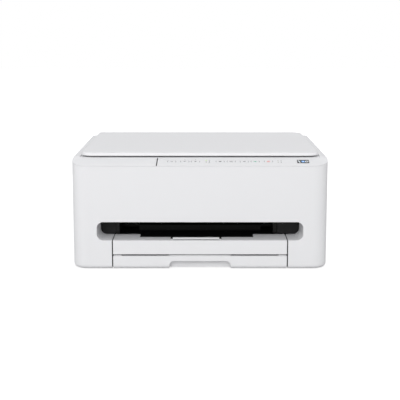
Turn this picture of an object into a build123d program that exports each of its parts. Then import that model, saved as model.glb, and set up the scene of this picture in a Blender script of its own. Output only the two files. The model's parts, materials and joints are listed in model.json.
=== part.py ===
from build123d import *
import os
from math import atan2, cos, sin

# A compact inkjet printer with a flatbed scanner on top.
# Millimetres. The front faces -Y, the right side is +X, and z = 0 is the table.
# The origin is under the middle of the casing.

# Casing
case_width = 380.0
case_depth = 313.0
foot_height = 0.8
foot_radius = 7.0
foot_inset = 34.0
wall = 2.5
corner_radius = 22.0
rear_corner_radius = 6.5
least_radius = 0.5
bottom_fillet = 6.0
body_height = 154.4
seam_gap = 0.15

# Clearances
fit_gap = 0.3
slide_gap = 0.5
shaft_gap = 0.05
panel_gap = 1.3
panel_rear_gap = 0.1

# Slanted strip and flat frame of the scanner unit
strip_run = 28.9
strip_rise = 8.9
strip_edge = 0.65
rim_depth = 4.4
rim_rear_gap = 12.0
frame_edge_fillet = 2.5
frame_lift = 1.1
panel_depth = 29.4
frame_plate = 2.0
panel_split = -62.6
panel_split_slant = 1.2

# Document cover
lid_setback = 28.0
lid_side_margin = 12.0
lid_seat_gap = 1.5
lid_seat_rear_gap = 0.5
lid_rear_margin = 3.0
lid_gap = 2.4
lid_thickness = 4.9
lid_skin = 1.3
lid_front_radius = 18.0
lid_left_radius = 5.0
lid_right_radius = 19.0
lid_edge_fillet = 3.0
lid_ear_drop = 0.8

# Glass, and the opening above it
glass_length = 310.0
glass_width = 226.0
glass_thickness = 3.0
window_margin = 4.5
glass_centre_y = 9.0
pad_gap = 0.4
pad_margin = 1.5

# Pocket where the paper comes out
pocket_half = 153.4
pocket_floor = 44.2
pocket_height = 27.7
pocket_depth = 46.0
pocket_radius = 9.5
pocket_draft = 1.8
pocket_wall = 2.0
exit_left = -123.0
exit_right = 118.5
exit_sill = 1.0
duct_gap = 5.5
duct_wall = 1.5

# Output tray
tray_half = 129.55
tray_gap = 1.7
tray_bottom = 23.05
tray_panel = 3.0
tray_shelf = 2.4
tray_step_left = -91.0
tray_step_right = 81.0
tray_step_depth = 24.0
tray_length = 112.0
stopper_centre = -6.0
stopper_width = 73.4
stopper_front = 3.2
stopper_groove = 5.6
stopper_thickness = 1.6
stopper_sink = 0.3
stopper_lip = 4.5
stopper_undercut = 3.0
stopper_rise = 2.3
stopper_nose = 0.8
stopper_rear_gap = 3.0
stopper_slit = 3.5
stopper_peg = 0.8
stopper_peg_length = 2.5
step_drop = 1.2

# Paper cassette
cassette_gap = 2.6
cassette_half = 122.0
cassette_wall = 1.6
cassette_floor = 2.0
cassette_front_depth = 6.0
cassette_rear_gap = 5.5
cassette_height = 12.0
notch_half = 45.3
notch_height = 11.9
notch_radius = 6.0
notch_flare = 2.5
notch_depth = 8.0
notch_lift = 0.8
paper_half = 105.0
guide_line_y = -10.0
guide_tongue = 16.5
length_guide_travel = 60.0
floor_rib = 1.2
rail_x = 131.0
rail_wall = 2.5
pad_thickness = 1.2
pickup_half = 14.0
pickup_y = 78.0
pickup_radius = 9.0
pickup_pivot_y = 30.0
pickup_pivot_z = 34.0

# Print mechanism
plate_x = 165.0
plate_thickness = 1.2
carriage_width = 64.0
carriage_home = 130.0
purge_overlap = 15.5
guide_y = 40.0
guide_z = 80.0
guide_radius = 4.0
feed_y = 35.0
feed_z = 56.0
feed_radius = 5.0
eject_y = -56.0
eject_z = 54.0
eject_radius = 4.0
bar_front = 7.0
axle_radius = 3.0
thin_axle = 1.0
spur_radius = 4.6
pinch_y = 37.0
pinch_radius = 2.6
feed_gear_radius = 15.0
plate_front = -62.0
plate_rear = 130.0
plate_top = 122.0
beam_y = 56.0
beam_bottom = 67.0
track_y = -62.0
track_z = 100.0
carriage_front = -44.0
carriage_rear = 28.0
carriage_bottom = 64.0
carriage_top = 112.0
lever_y = 22.0
lever_rise = 3.5
lever_length = 34.0
lever_pin = 1.0
belt_y = 50.5
belt_z = 102.0
belt_width = 5.0
belt_thickness = 1.0
pulley_radius = 6.0
pulley_axle = 1.5
motor_x = -145.0
idler_x = 152.0
motor_radius = 14.0
motor_length = 32.0
motor_boss = 3.0
feed_motor_y = -30.0
feed_motor_z = 30.0
feed_motor_radius = 16.0
feed_motor_length = 24.0
platen_top = 58.0
platen_thickness = 5.0
platen_rib = 2.0
platen_ribs = 9
platen_side_gap = 4.0
purge_y0 = -40.0
purge_y1 = 14.0
purge_top = 61.0
turn_y = 105.0
turn_z = 43.0
turn_radius = 20.0
turn_half = 108.0
support_gap = 6.5

# Electrics and the rear panel
board_x0 = -40.0
board_x1 = 120.0
board_y0 = 64.0
board_rear_gap = 8.5
board_z = 96.0
board_thickness = 1.6
board_chips = ((0.37, 0.38, 26, 26, 2), (0.62, 0.28, 16, 12, 1.6), (0.62, 0.72, 14, 20, 1.6),
               (0.84, 0.42, 12, 12, 8), (1.0, 0.93, 10, 30, 6), (0.1, 0.93, 8, 30, 5))
pack_front = 24.0
pack_height = 41.5
inlet_x = -144.0
inlet_z = 40.0
inlet_half = 9.0
inlet_rise = 7.0
port_x = 96.0
port_half = 6.0
port_rise = 5.5
service_half = 162.0
service_bottom = 24.0
service_top = 140.0
service_land = 8.0
screw_radius = 1.15
door_half = 100.0
door_bottom = 36.0
door_top = 73.0
door_peg_radius = 0.8
vent_x = 60.0
vent_half = 26.0
vent_bottom = 80.0
vent_rows = 8
vent_pitch = 5.0
vent_slot = 2.0

# Scan head, and the buttons on the strip
tub_bottom = 130.2
rod_radius = 3.0
rod_z = 140.2
head_width = 20.0
head_gap = 0.6
button_left = -41.9
button_steps = (0, 19.3, 35.2, 71.7, 88.1, 107.4, 123.6, 143.4)
button_along = 15.5
button_width = 11.6
button_height = 7.0
button_radius = 3.4
button_gap = 0.25
button_travel = 0.5
board_depth = 6.0
display_x = 152.6
display_width = 17.5
display_height = 11.5

# Hinge lines at the rear
scanner_hinge_gap = 6.5
scanner_hinge_z = 152.2
scanner_pin_radius = 2.0
scanner_hinge_x = 141.0
lid_pin_radius = 0.9
lid_eye_radius = 1.65
lid_eye_gap = 0.25
ear_width = 5.0
ear_radius = 3.6
socket_bottom = 139.2
groove_depth = 0.9
notch_drop = 6.15
lid_hinge_x = 112.0
lid_hinge_width = 14.0

half_width = case_width / 2
front = -case_depth / 2
rear = case_depth / 2
seam_level = foot_height + body_height
strip_foot = seam_level + seam_gap
slant_foot = strip_foot + strip_edge
frame_top = slant_foot + strip_rise
rim_level = frame_top - rim_depth
frame_under = frame_top - frame_plate
lid_under = frame_top + lid_gap
lid_top = lid_under + lid_thickness
lid_front = front + lid_setback
lid_rear = rear - lid_rear_margin
lid_half = half_width - lid_side_margin
pocket_top = pocket_floor + pocket_height
pocket_back = front + pocket_depth
floor_top = foot_height + wall
cassette_rear = rear - cassette_rear_gap
rear_support = rear - support_gap
board_y1 = rear - board_rear_gap
scanner_hinge_y = rear - scanner_hinge_gap
rim_rear = scanner_hinge_y - rim_rear_gap
tray_side = tray_half + tray_gap
duct_end = eject_y - bar_front - duct_gap
rail_top = pocket_floor - pocket_wall - fit_gap
cassette_level = floor_top + floor_rib + fit_gap
pickup_z = cassette_level + cassette_floor + pad_thickness + fit_gap + pickup_radius
notch_level = seam_level - notch_drop
notch_front = scanner_hinge_y - 4.5
lid_hinge_y = lid_rear - 3.0
lid_hinge_z = lid_top - lid_skin - lid_eye_gap - lid_eye_radius
lid_ceiling = lid_top - 1.7 * lid_skin
tub_x = glass_length / 2 + slide_gap + wall
tub_y0 = glass_centre_y - glass_width / 2 - slide_gap - wall
tub_y1 = glass_centre_y + glass_width / 2 + slide_gap + wall
window_x = glass_length / 2 - window_margin
window_y0 = glass_centre_y - glass_width / 2 + window_margin
window_y1 = glass_centre_y + glass_width / 2 - window_margin
spur_z = eject_z + eject_radius + fit_gap + spur_radius
pinch_z = feed_z + feed_radius + fit_gap + pinch_radius
lever_z = carriage_top + lever_rise
purge_bottom = rail_top + 1.0
port_z = board_z + board_thickness + port_rise
door_hinge_y = rear - wall / 2
door_hinge_z = door_bottom + wall / 2


def block(x0, x1, y0, y1, z0, z1):
    """Box between two opposite corners."""
    middle = Pos((x0 + x1) / 2, (y0 + y1) / 2, (z0 + z1) / 2)
    return middle * Box(abs(x1 - x0), abs(y1 - y0), abs(z1 - z0))


def prism(x0, x1, y0, y1, z0, z1, radius):
    """Upright block with rounded corners in plan."""
    outline = RectangleRounded(x1 - x0, y1 - y0, radius)
    return extrude(Pos((x0 + x1) / 2, (y0 + y1) / 2, z0) * outline, z1 - z0)


def facing_prism(x0, x1, z0, z1, y0, y1, radius):
    """Block that is rounded as seen from the front."""
    outline = RectangleRounded(x1 - x0, z1 - z0, radius)
    plane = Plane(origin=((x0 + x1) / 2, y0, (z0 + z1) / 2), x_dir=(1, 0, 0), z_dir=(0, -1, 0))
    return extrude(plane * outline, y0 - y1)


def x_rod(radius, x0, x1, y, z):
    """Round bar along X."""
    return Pos((x0 + x1) / 2, y, z) * Rot(0, 90, 0) * Cylinder(radius, abs(x1 - x0))


def y_rod(radius, x, y0, y1, z):
    """Round bar along Y."""
    return Pos(x, (y0 + y1) / 2, z) * Rot(90, 0, 0) * Cylinder(radius, abs(y1 - y0))


def z_rod(radius, x, y, z0, z1):
    """Upright round bar."""
    return Pos(x, y, (z0 + z1) / 2) * Cylinder(radius, z1 - z0)


def x_profile(points, x0, x1):
    """Prism along X from an outline of (y, z) points."""
    plane = Plane(origin=(x0, 0, 0), x_dir=(0, 1, 0), z_dir=(1, 0, 0))
    return extrude(plane * make_face(Polyline(*points, close=True)), x1 - x0, dir=(1, 0, 0))


def z_profile(points, z0, z1):
    """Upright prism from an outline of (x, y) points."""
    return extrude(Pos(0, 0, z0) * make_face(Polyline(*points, close=True)), z1 - z0, dir=(0, 0, 1))


def case_plan(inset):
    """Outline of the casing from above, with smaller corners at the rear."""
    plan = Rectangle(2 * (half_width - inset), case_depth - 2 * inset)
    plan = fillet(plan.vertices().sort_by(Axis.Y)[:2], corner_radius - inset)
    return fillet(plan.vertices().group_by(Axis.Y)[-1], max(rear_corner_radius - inset, least_radius))


def case_slab(inset, z0, z1):
    """Flat slab with the outline of the casing, drawn in all round."""
    return extrude(Pos(0, 0, z0) * case_plan(inset), z1 - z0)


def body_form(inset, base):
    """Outer form of the lower casing, or the hollow inside it."""
    form = case_slab(inset, base, seam_level)
    return fillet(form.faces().sort_by(Axis.Z)[0].edges(), bottom_fillet - inset)


def strip_plane(x, along):
    """Plane on the slanted strip, at x and a distance up the slope from its foot."""
    slope = atan2(strip_rise, strip_run)
    y = front + along * cos(slope)
    z = slant_foot + along * sin(slope)
    return Plane(origin=(x, y, z), x_dir=(1, 0, 0), z_dir=(0, -sin(slope), cos(slope)))


def edge_ring(inset, extra, z0, z1):
    """Band that follows the edge of the casing, as wide as the inset, and by the extra beyond it."""
    return case_slab(-extra, z0, z1) - case_slab(inset, z0 - 1, z1 + 1)


def rim_side(gap, rear_gap):
    """What lies under the slanted strip and the rim of the frame, raised by a gap."""
    slope = strip_rise / strip_run
    foot = seam_level + gap
    top = rim_level - seam_gap + gap
    knee = front + (top - foot) / slope
    y1 = rim_rear + rear_gap
    return x_profile([(front - 2, seam_level - 3), (front - 2, foot - 2 * slope), (knee, top), (y1, top),
                      (y1, seam_level - 3)], -half_width - 2, half_width + 2)


def outer_cover():
    """Front, sides and rear frame of the lower casing, with the pocket."""
    cover = body_form(0, foot_height) - body_form(wall, floor_top)
    lip = bottom_fillet + wall
    cover -= case_slab(lip, foot_height - 1, floor_top + 1)
    sleeve = facing_prism(-pocket_half - pocket_wall, pocket_half + pocket_wall,
                          pocket_floor - pocket_wall, pocket_top + pocket_wall,
                          front + 1, pocket_back, pocket_radius + pocket_wall)
    cover += sleeve
    cover -= pocket_hollow()
    side = tray_side
    cover -= block(-side, side, front - 1, pocket_back + 1, foot_height - 1, pocket_floor + pocket_radius / 2)
    cover += block(-service_half - service_land, service_half + service_land, rear - 2 * wall, rear - wall,
                   service_bottom - service_land, notch_level - 2.5)
    cover -= block(-service_half, service_half, rear - wall - fit_gap, rear + 1,
                   service_bottom, service_top)
    cover -= block(-service_half + service_land, service_half - service_land, rear - 3 * wall, rear + 1,
                   service_bottom + service_land, service_top - service_land)
    for s in (-1, 1):
        half = lid_hinge_width / 2 + 3.5
        cover -= block(s * lid_hinge_x - half, s * lid_hinge_x + half, rear - 3 * wall, rear - wall,
                       socket_bottom - 1.5, notch_level)
    for x, z in screw_places():
        cover -= y_rod(screw_radius + shaft_gap, x, rear - 3 * wall, rear, z)
    cover -= block(-half_width - 1, half_width + 1, notch_front, rear + 1, notch_level, seam_level + 1)
    return cover + (edge_ring(wall, 0, seam_level - 0.1, rim_level) & rim_side(0, 0))


def pocket_outline(y, inset):
    """Rounded outline of the pocket at one depth, drawn in at its two ends."""
    plane = Plane(origin=(0, y, (pocket_floor + pocket_top) / 2), x_dir=(1, 0, 0), z_dir=(0, -1, 0))
    return plane * RectangleRounded(2 * (pocket_half - inset), pocket_height, pocket_radius)


def pocket_hollow():
    """Space inside the pocket, which narrows a little towards its back."""
    hollow = loft([pocket_outline(front, 0), pocket_outline(pocket_back, pocket_draft)], ruled=True)
    mouth = extrude(pocket_outline(front, 0), 2)
    return hollow + mouth + extrude(pocket_outline(pocket_back, pocket_draft), -1)


def screw_places():
    """Centres of the screws in the rear cover."""
    side = service_half - service_land / 2
    return [(x, z) for x in (-side, side)
            for z in (service_bottom + service_land / 2, service_top - service_land / 2)]


def rear_cover():
    """Rear panel with the power inlet, data port, vents and service door opening."""
    y0 = rear - wall
    panel = block(-service_half + fit_gap, service_half - fit_gap, y0, rear,
                  service_bottom + fit_gap, service_top - fit_gap)
    gap = slide_gap
    panel -= block(-door_half - gap, door_half + gap, y0 - 1, rear + 1,
                   door_bottom - 2 * gap, door_top + gap)
    for side in (-1, 1):
        panel += block(side * (door_half + 1.2), side * (door_half + 5), y0 - 2, y0,
                       door_bottom - 2, door_bottom + 6)
        panel -= x_rod(door_peg_radius + shaft_gap, side * (door_half - 1), side * (door_half + 3.4),
                       door_hinge_y, door_hinge_z)
    panel -= block(inlet_x - inlet_half - fit_gap, inlet_x + inlet_half + fit_gap, y0 - 1, rear + 1,
                   inlet_z - inlet_rise - fit_gap, inlet_z + inlet_rise + fit_gap)
    panel -= block(port_x - port_half - fit_gap, port_x + port_half + fit_gap, y0 - 1, rear + 1,
                   port_z - port_rise - fit_gap, port_z + port_rise + fit_gap)
    for row in range(vent_rows):
        z = vent_bottom + row * vent_pitch
        for x in (-vent_x, vent_x):
            panel -= block(x - vent_half, x + vent_half, y0 - 1, rear + 1, z, z + vent_slot)
    for x, z in screw_places():
        panel -= y_rod(1.7, x, y0 - 1, rear + 1, z)
        panel -= y_rod(3.2, x, rear - 1.3, rear + 1, z)
    return panel


def rear_door():
    """Service door at the rear, on two pegs near its lower edge."""
    door = block(-door_half, door_half, rear - wall, rear, door_bottom, door_top)
    door -= block(-14, 14, rear - 1.2, rear + 1, door_top - 8, door_top - 3)
    for z in (door_bottom + 12, door_top - 12):
        door += block(-door_half + 8, door_half - 8, rear - wall - 1.5, rear - wall, z - 1, z + 1)
    for side in (-1, 1):
        door += x_rod(door_peg_radius, side * (door_half - 1), side * (door_half + 3),
                      door_hinge_y, door_hinge_z)
    return door


def case_screws():
    """Four screws that hold the rear cover."""
    screws = []
    for x, z in screw_places():
        screw = y_rod(2.8, x, rear - 1.2, rear - 0.2, z)
        screw += y_rod(screw_radius, x, rear - 3 * wall + 1, rear - 1, z)
        screw -= block(x - 2, x + 2, rear - 0.7, rear, z - 0.4, z + 0.4)
        screw -= block(x - 0.4, x + 0.4, rear - 0.7, rear, z - 2, z + 2)
        screws.append(screw)
    return screws


def bottom_case():
    """Floor with the rails that guide the cassette and the output tray."""
    lip = bottom_fillet + wall + fit_gap
    floor = case_slab(lip, foot_height, floor_top)
    floor += case_slab(lip + 0.2, floor_top, floor_top + floor_rib)
    side = tray_side
    floor -= block(-side, side, front - 1, front + cassette_front_depth + notch_depth + 1,
                   foot_height - 1, floor_top + 3)
    for s in (-1, 1):
        rail = block(s * rail_x, s * (rail_x + rail_wall), front + 12, rear - 8,
                     floor_top, rail_top)
        ledge = block(s * (tray_half - 4.5), s * (rail_x + 0.1), front + 20, front + tray_length + 4,
                      tray_bottom - fit_gap - 1.2, tray_bottom - fit_gap)
        floor += rail + ledge
        floor += block(s * plate_x, s * (plate_x + 6), plate_front + 8, plate_rear - 8,
                       floor_top, floor_top + 8)
    floor -= x_rod(axle_radius + shaft_gap, -rail_x - 5, rail_x + 5, pickup_pivot_y, pickup_pivot_z)
    return floor


def foot_places():
    """Centres of the four feet."""
    x = half_width - foot_inset
    y = rear - foot_inset
    return [(-x, -y), (x, -y), (-x, y), (x, y)]


def rubber_feet():
    """Four pads under the floor."""
    return [z_rod(foot_radius, x, y, 0, foot_height) for x, y in foot_places()]


def output_liner():
    """Dark wall and duct behind the pocket, with the slot for the paper."""
    back = facing_prism(-pocket_half - pocket_wall, pocket_half + pocket_wall,
                        pocket_floor - pocket_wall, pocket_top + pocket_wall,
                        pocket_back, pocket_back + 2, pocket_radius + pocket_wall)
    back -= block(exit_left, exit_right, pocket_back - 1, pocket_back + 3,
                  pocket_floor + exit_sill, pocket_top)
    side = tray_side
    back -= block(-side, side, pocket_back - 1, pocket_back + 3,
                  pocket_floor - pocket_wall - 1, pocket_floor + exit_sill)
    t = duct_wall
    y0 = pocket_back + 1
    z0 = pocket_floor + exit_sill
    back += block(exit_left - t, exit_right + t, y0, duct_end, pocket_top, pocket_top + t)
    back += block(exit_left - t, exit_left, y0, duct_end, z0, pocket_top + t / 3)
    back += block(exit_right, exit_right + t, y0, duct_end, z0, pocket_top + t / 3)
    return back


def output_tray():
    """White front panel and shelf of the output tray."""
    form = body_form(0, foot_height)
    panel = form & block(-tray_half, tray_half, front - 1, front + tray_panel, tray_bottom, pocket_floor)
    shelf = block(-tray_half, tray_half, front + 1, pocket_back - fit_gap,
                  pocket_floor - tray_shelf, pocket_floor)
    shelf -= block(tray_step_left, tray_step_right, front + tray_step_depth, pocket_back + 1,
                   pocket_floor - tray_shelf - 1, pocket_floor + 1)
    for x in (stopper_centre - stopper_width / 2, stopper_centre + stopper_width / 2):
        shelf -= block(x - stopper_slit / 2, x + stopper_slit / 2, front + stopper_front,
                       front + tray_step_depth + 1, pocket_floor - tray_shelf - 1, pocket_floor + 1)
    inner = stopper_width / 2
    shelf -= block(stopper_centre - inner, stopper_centre + inner, front + stopper_front,
                   front + tray_step_depth + 1, pocket_floor - tray_shelf - 1, pocket_floor + 1)
    base = block(-tray_half, tray_half, front + 1, front + tray_length, tray_bottom, tray_bottom + 2)
    tray = panel + shelf + base
    for s in (-1, 1):
        tray += block(s * tray_half, s * (tray_half - 2), front + 1, front + tray_length,
                      tray_bottom, pocket_floor - tray_shelf)
    ears, holes = stopper_bearings()
    for ear in ears:
        tray += ear
    return tray - holes


def tray_plate():
    """Dark plate of the output tray that the sheets land on."""
    z1 = pocket_floor - step_drop
    z0 = z1 - 1.5
    side = tray_half - 2 - fit_gap
    y0 = front + tray_step_depth + fit_gap
    y1 = front + tray_length
    plate = block(tray_step_left + fit_gap, tray_step_right - fit_gap, y0, pocket_back, z0, z1)
    plate += block(-side, side, pocket_back, y1, z0, z1)
    for x in (tray_step_left + 12, tray_step_right - 14):
        plate += block(x, x + 2, y0 + 2, y1, z1, z1 + 0.5)
    for s in (-1, 1):
        plate += block(s * side, s * (side - 2), pocket_back, y1, tray_bottom + 2, z0)
    return plate


def stopper_axis():
    """Height and depth of the line that the paper stop turns about."""
    y = front + stopper_front + stopper_groove + stopper_undercut + stopper_thickness / 2
    return y, pocket_floor - stopper_sink - stopper_thickness / 2


def paper_stopper():
    """Flap in the shelf, with a raised lip at its front, that folds up to stop the sheets."""
    half = stopper_width / 2 - stopper_slit / 2 - fit_gap
    x0 = stopper_centre - half
    x1 = stopper_centre + half
    y0 = front + stopper_front + stopper_groove
    y1 = y0 + stopper_undercut
    lip = block(x0, x1, y0, y0 + stopper_lip, pocket_floor, pocket_floor + stopper_rise)
    lip = fillet(lip.edges().filter_by(Axis.X).group_by(Axis.Z)[-1], stopper_nose)
    top = pocket_floor - stopper_sink
    flap = lip + block(x0, x1, y1, y0 + stopper_lip, top - stopper_thickness / 2, pocket_floor + stopper_nose)
    flap += block(x0, x1, y1, front + tray_step_depth - stopper_rear_gap, top - stopper_thickness, top)
    y, z = stopper_axis()
    reach = stopper_width / 2 + stopper_slit / 2 + stopper_peg_length
    return flap + x_rod(stopper_peg, stopper_centre - reach, stopper_centre + reach, y, z)


def stopper_bearings():
    """Ears under the shelf that hold the pegs of the flap, and the holes for them."""
    half = stopper_width / 2 + stopper_slit / 2
    y, z = stopper_axis()
    holes = x_rod(stopper_peg + shaft_gap, stopper_centre - half - 4, stopper_centre + half + 4, y, z)
    ears = []
    for s in (-1, 1):
        x = stopper_centre + s * half
        ears.append(block(x, x + s * 4, front + tray_panel - 0.5, y + 3, pocket_floor - 5, pocket_floor - 0.5))
    return ears, holes


def cassette_tray():
    """Tub that holds the sheets."""
    z0 = cassette_level
    y0 = front + cassette_front_depth + notch_depth
    tub = block(-cassette_half, cassette_half, y0, cassette_rear, z0, z0 + cassette_height)
    tub -= block(-cassette_half + cassette_wall, cassette_half - cassette_wall,
                 y0 + cassette_wall, cassette_rear - cassette_wall,
                 z0 + cassette_floor, z0 + cassette_height + 1)
    tub -= block(-pickup_half - 6, pickup_half + 6, cassette_rear - cassette_wall - 1, cassette_rear + 1,
                 z0 + cassette_floor + 0.4, z0 + cassette_height + 1)
    for s in (-1, 1):
        for y in (guide_line_y - 16, guide_line_y + 16):
            tub -= block(s * 40, s * (paper_half + 8), y - 1, y + 1, z0 - 1, z0 + cassette_floor + 1)
    slot = length_guide_front() + guide_tongue
    tub -= block(-1, 1, slot, slot + length_guide_travel + 10, z0 - 1, z0 + cassette_floor + 1)
    return tub


def cassette_front():
    """White front of the cassette with the finger notch."""
    form = body_form(0, foot_height)
    y1 = front + cassette_front_depth
    z1 = tray_bottom - cassette_gap
    face = form & block(-tray_half, tray_half, front - 1, y1, foot_height, z1)
    z0 = foot_height + 1.5
    face += block(-tray_half + 2, tray_half - 2, y1 - 1, y1 + notch_depth, z0, z0 + 2)
    notch_top = foot_height + notch_height
    face -= facing_prism(-notch_half, notch_half, notch_top - 30, notch_top, front - 1, y1 + 1, notch_radius)
    wide = notch_half + notch_flare
    foot = block(-wide, wide, front - 1, y1 + 1, foot_height - 1, foot_height + notch_flare)
    for s in (-1, 1):
        foot -= y_rod(notch_flare, s * wide, front - 2, y1 + 2, foot_height + notch_flare)
    face -= foot
    face -= block(-notch_half, notch_half, y1 - 2, y1 + notch_depth - 3, foot_height - 1, z0 + 3)
    wall_y = y1 + notch_depth - 3
    face += block(-notch_half - 2, notch_half + 2, wall_y, wall_y + 3, foot_height + notch_lift, z1 - 1)
    for s in (-1, 1):
        face += block(s * notch_half, s * (notch_half + 2), y1 - 1, wall_y + 1, z0, z1 - 1)
        face += block(s * (tray_half - 12), s * (tray_half - 1), y1 - 3, y1, z1 - 1, z1 + 0.8)
    face += block(-notch_half, notch_half, y1 - 3, y1, z1 - 1, z1 + 0.8)
    face += block(-notch_half, notch_half, y1 - 1, wall_y + 1, notch_top + 0.5, z1 - 1)
    return face


def side_guide(s):
    """Sliding guide for one side edge of the sheets."""
    z0 = cassette_level + cassette_floor + 0.2
    wall_block = block(s * paper_half, s * (paper_half + 1.6), guide_line_y - 45, guide_line_y + 45,
                       z0, cassette_level + cassette_height - 0.6)
    foot = block(s * (paper_half - 12), s * (paper_half + 1), guide_line_y - 20, guide_line_y + 20, z0, z0 + 1)
    guide = wall_block + foot
    for y in (guide_line_y - 16, guide_line_y + 16):
        guide += block(s * (paper_half - 6), s * (paper_half - 1), y - 0.7, y + 0.7,
                       cassette_level + 0.3, z0 + 0.5)
    return guide


def length_guide_front():
    """Front face of the length guide when it is pushed forward."""
    return front + cassette_front_depth + notch_depth + cassette_wall + 2


def length_guide():
    """Guide for the front edge of the sheets."""
    z0 = cassette_level + cassette_floor + 0.2
    y0 = length_guide_front()
    guide = block(-14, 14, y0, y0 + 2, z0, cassette_level + cassette_height - 0.6)
    guide += block(-14, 14, y0, y0 + 24, z0, z0 + 1)
    y1 = y0 + guide_tongue + 2
    guide += block(-0.7, 0.7, y1, y1 + 3.5, cassette_level + 0.3, z0 + 0.5)
    return guide


def main_frame():
    """Sheet-metal frame of the print mechanism."""
    t = plate_thickness
    z1 = plate_top
    frame = block(-plate_x + t, plate_x - t, beam_y, beam_y + t, beam_bottom, z1)
    for s in (-1, 1):
        plate = block(s * plate_x, s * (plate_x - t), plate_front, plate_rear, floor_top + floor_rib, z1)
        frame += plate
    frame += block(-plate_x + t, plate_x - t, track_y, track_y + t, track_z, z1 - 2)
    frame += block(-plate_x + t, plate_x - t, track_y, track_y + 11, track_z - t, track_z)
    frame += block(board_x0 - 6, board_x1 + 6, beam_y + t - 0.1, board_y1 + 2, board_z - 3 - t, board_z - 3)
    for x in (board_x0 + 6, board_x1 - 6):
        for y in (board_y0 + 6, board_y1 - 6):
            frame += z_rod(2.5, x, y, board_z - 3.1, board_z)
    for x in range(-120, 121, 60):
        frame -= y_rod(6, x, beam_y - 1, beam_y + t + 1, beam_bottom + 9)
    hole = shaft_gap
    for radius, y, z in ((guide_radius, guide_y, guide_z), (axle_radius, feed_y, feed_z),
                         (axle_radius, eject_y, eject_z), (thin_axle, eject_y, spur_z),
                         (thin_axle, pinch_y, pinch_z)):
        frame -= x_rod(radius + hole, -plate_x - 1, plate_x + 1, y, z)
    frame -= y_rod(pulley_axle + hole, motor_x, beam_y - 1, beam_y + t + 1, belt_z)
    frame -= y_rod(pulley_axle + hole, idler_x, beam_y - 1, beam_y + t + 1, belt_z)
    return frame


def guide_shaft():
    """Polished bar that the carriage runs on."""
    shaft = x_rod(guide_radius, -plate_x - 3, plate_x + 3, guide_y, guide_z)
    for s in (-1, 1):
        shaft -= x_rod(guide_radius + 1, s * (plate_x + 1), s * (plate_x + 1.6), guide_y, guide_z) - x_rod(
            guide_radius - 0.7, s * (plate_x + 0.5), s * (plate_x + 2), guide_y, guide_z)
    return shaft


def carriage_belt():
    """Toothed belt that pulls the carriage."""
    outer = pulley_radius + belt_thickness + shaft_gap
    inner = pulley_radius + shaft_gap
    loop = belt_loop(outer) - belt_loop(inner)
    return loop


def belt_loop(radius):
    """Round-ended block around the two belt pulleys."""
    width = idler_x - motor_x + 2 * radius
    plane = Plane(origin=((idler_x + motor_x) / 2, belt_y - belt_width / 2, belt_z),
                  x_dir=(1, 0, 0), z_dir=(0, -1, 0))
    return extrude(plane * SlotOverall(width, 2 * radius), -belt_width)


def belt_pulley(x):
    """Flanged pulley and its axle."""
    y0 = belt_y - belt_width / 2
    pulley = y_rod(pulley_radius, x, y0, y0 + belt_width, belt_z)
    pulley += y_rod(pulley_radius + 1.5, x, y0 - 1.2, y0 - 0.2, belt_z)
    pulley += y_rod(pulley_radius - 1, x, y0 - 1, y0 + belt_width, belt_z)
    pulley += y_rod(pulley_axle, x, y0 - 1, beam_y + 3, belt_z)
    return pulley


def carriage_motor():
    """Motor behind the beam that turns the belt pulley."""
    y0 = beam_y + plate_thickness
    motor = y_rod(motor_radius, motor_x, y0, y0 + motor_length, belt_z)
    motor += y_rod(motor_radius - 5, motor_x, y0 + motor_length - 0.1, y0 + motor_length + motor_boss, belt_z)
    motor -= y_rod(pulley_axle + 0.4, motor_x, y0 - 1, y0 + 4, belt_z)
    return motor


def platen():
    """Ribbed bed below the print heads."""
    y0 = eject_y + eject_radius + platen_side_gap
    y1 = feed_y - feed_radius - platen_side_gap
    right = exit_right - purge_overlap - 2
    top = platen_top - platen_rib
    bed = block(exit_left - 3, right, y0, y1, top - platen_thickness, top)
    step = (right - exit_left - 8) / (platen_ribs - 1)
    for index in range(platen_ribs):
        x = exit_left + 4 + index * step
        bed += block(x - 0.8, x + 0.8, y0 + 1, y1 - 1, top - 0.1, platen_top)
    edge = plate_x - plate_thickness
    bed += block(-edge, edge, y1 - 11, y1 - 1, top - 1.6 * platen_thickness, top - platen_thickness + 0.1)
    return bed


def gear(radius, teeth, x0, x1, y, z):
    """Spur gear with square teeth, its axle along X."""
    wheel = x_rod(radius - 1.0, x0, x1, y, z)
    middle = (x0 + x1) / 2
    for index in range(teeth):
        tooth = Box(x1 - x0, radius * 1.6 / teeth * 1.9, 2.0)
        wheel += Pos(middle, y, z) * Rot(360 / teeth * index, 0, 0) * Pos(0, 0, radius - 1.0) * tooth
    return wheel


def feed_roller():
    """Grit roller that moves the sheet under the heads."""
    roller = x_rod(feed_radius, exit_left - 4, exit_right + 4, feed_y, feed_z)
    roller += x_rod(axle_radius, -plate_x - 9, plate_x + 1, feed_y, feed_z)
    roller += gear(feed_gear_radius, 36, -plate_x - 8, -plate_x - 4, feed_y, feed_z)
    return roller


def eject_roller():
    """Roller that pushes the sheet out through the slot."""
    roller = x_rod(axle_radius, -plate_x - 9, plate_x + 1, eject_y, eject_z)
    for index in range(9):
        x = wheel_x(index)
        roller += x_rod(eject_radius, x - 4, x + 4, eject_y, eject_z)
    roller += gear(feed_gear_radius * eject_radius / feed_radius, 29,
                   -plate_x - 8, -plate_x - 4, eject_y, eject_z)
    return roller


def wheel_x(index):
    """Place of one roller or spur wheel along the eject shaft."""
    return exit_left + 14 + index * (exit_right - exit_left - 28) / 8


def spur_wheels():
    """Thin toothed wheels on a wire axle above the eject roller."""
    wheels = x_rod(thin_axle, -plate_x - 1, plate_x + 1, eject_y, spur_z)
    wheel = gear(spur_radius, 12, -0.8, 0.8, eject_y, spur_z) + x_rod(2, -3, 3, eject_y, spur_z)
    for index in range(9):
        wheels += Pos(wheel_x(index), 0, 0) * wheel
    return wheels


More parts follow.
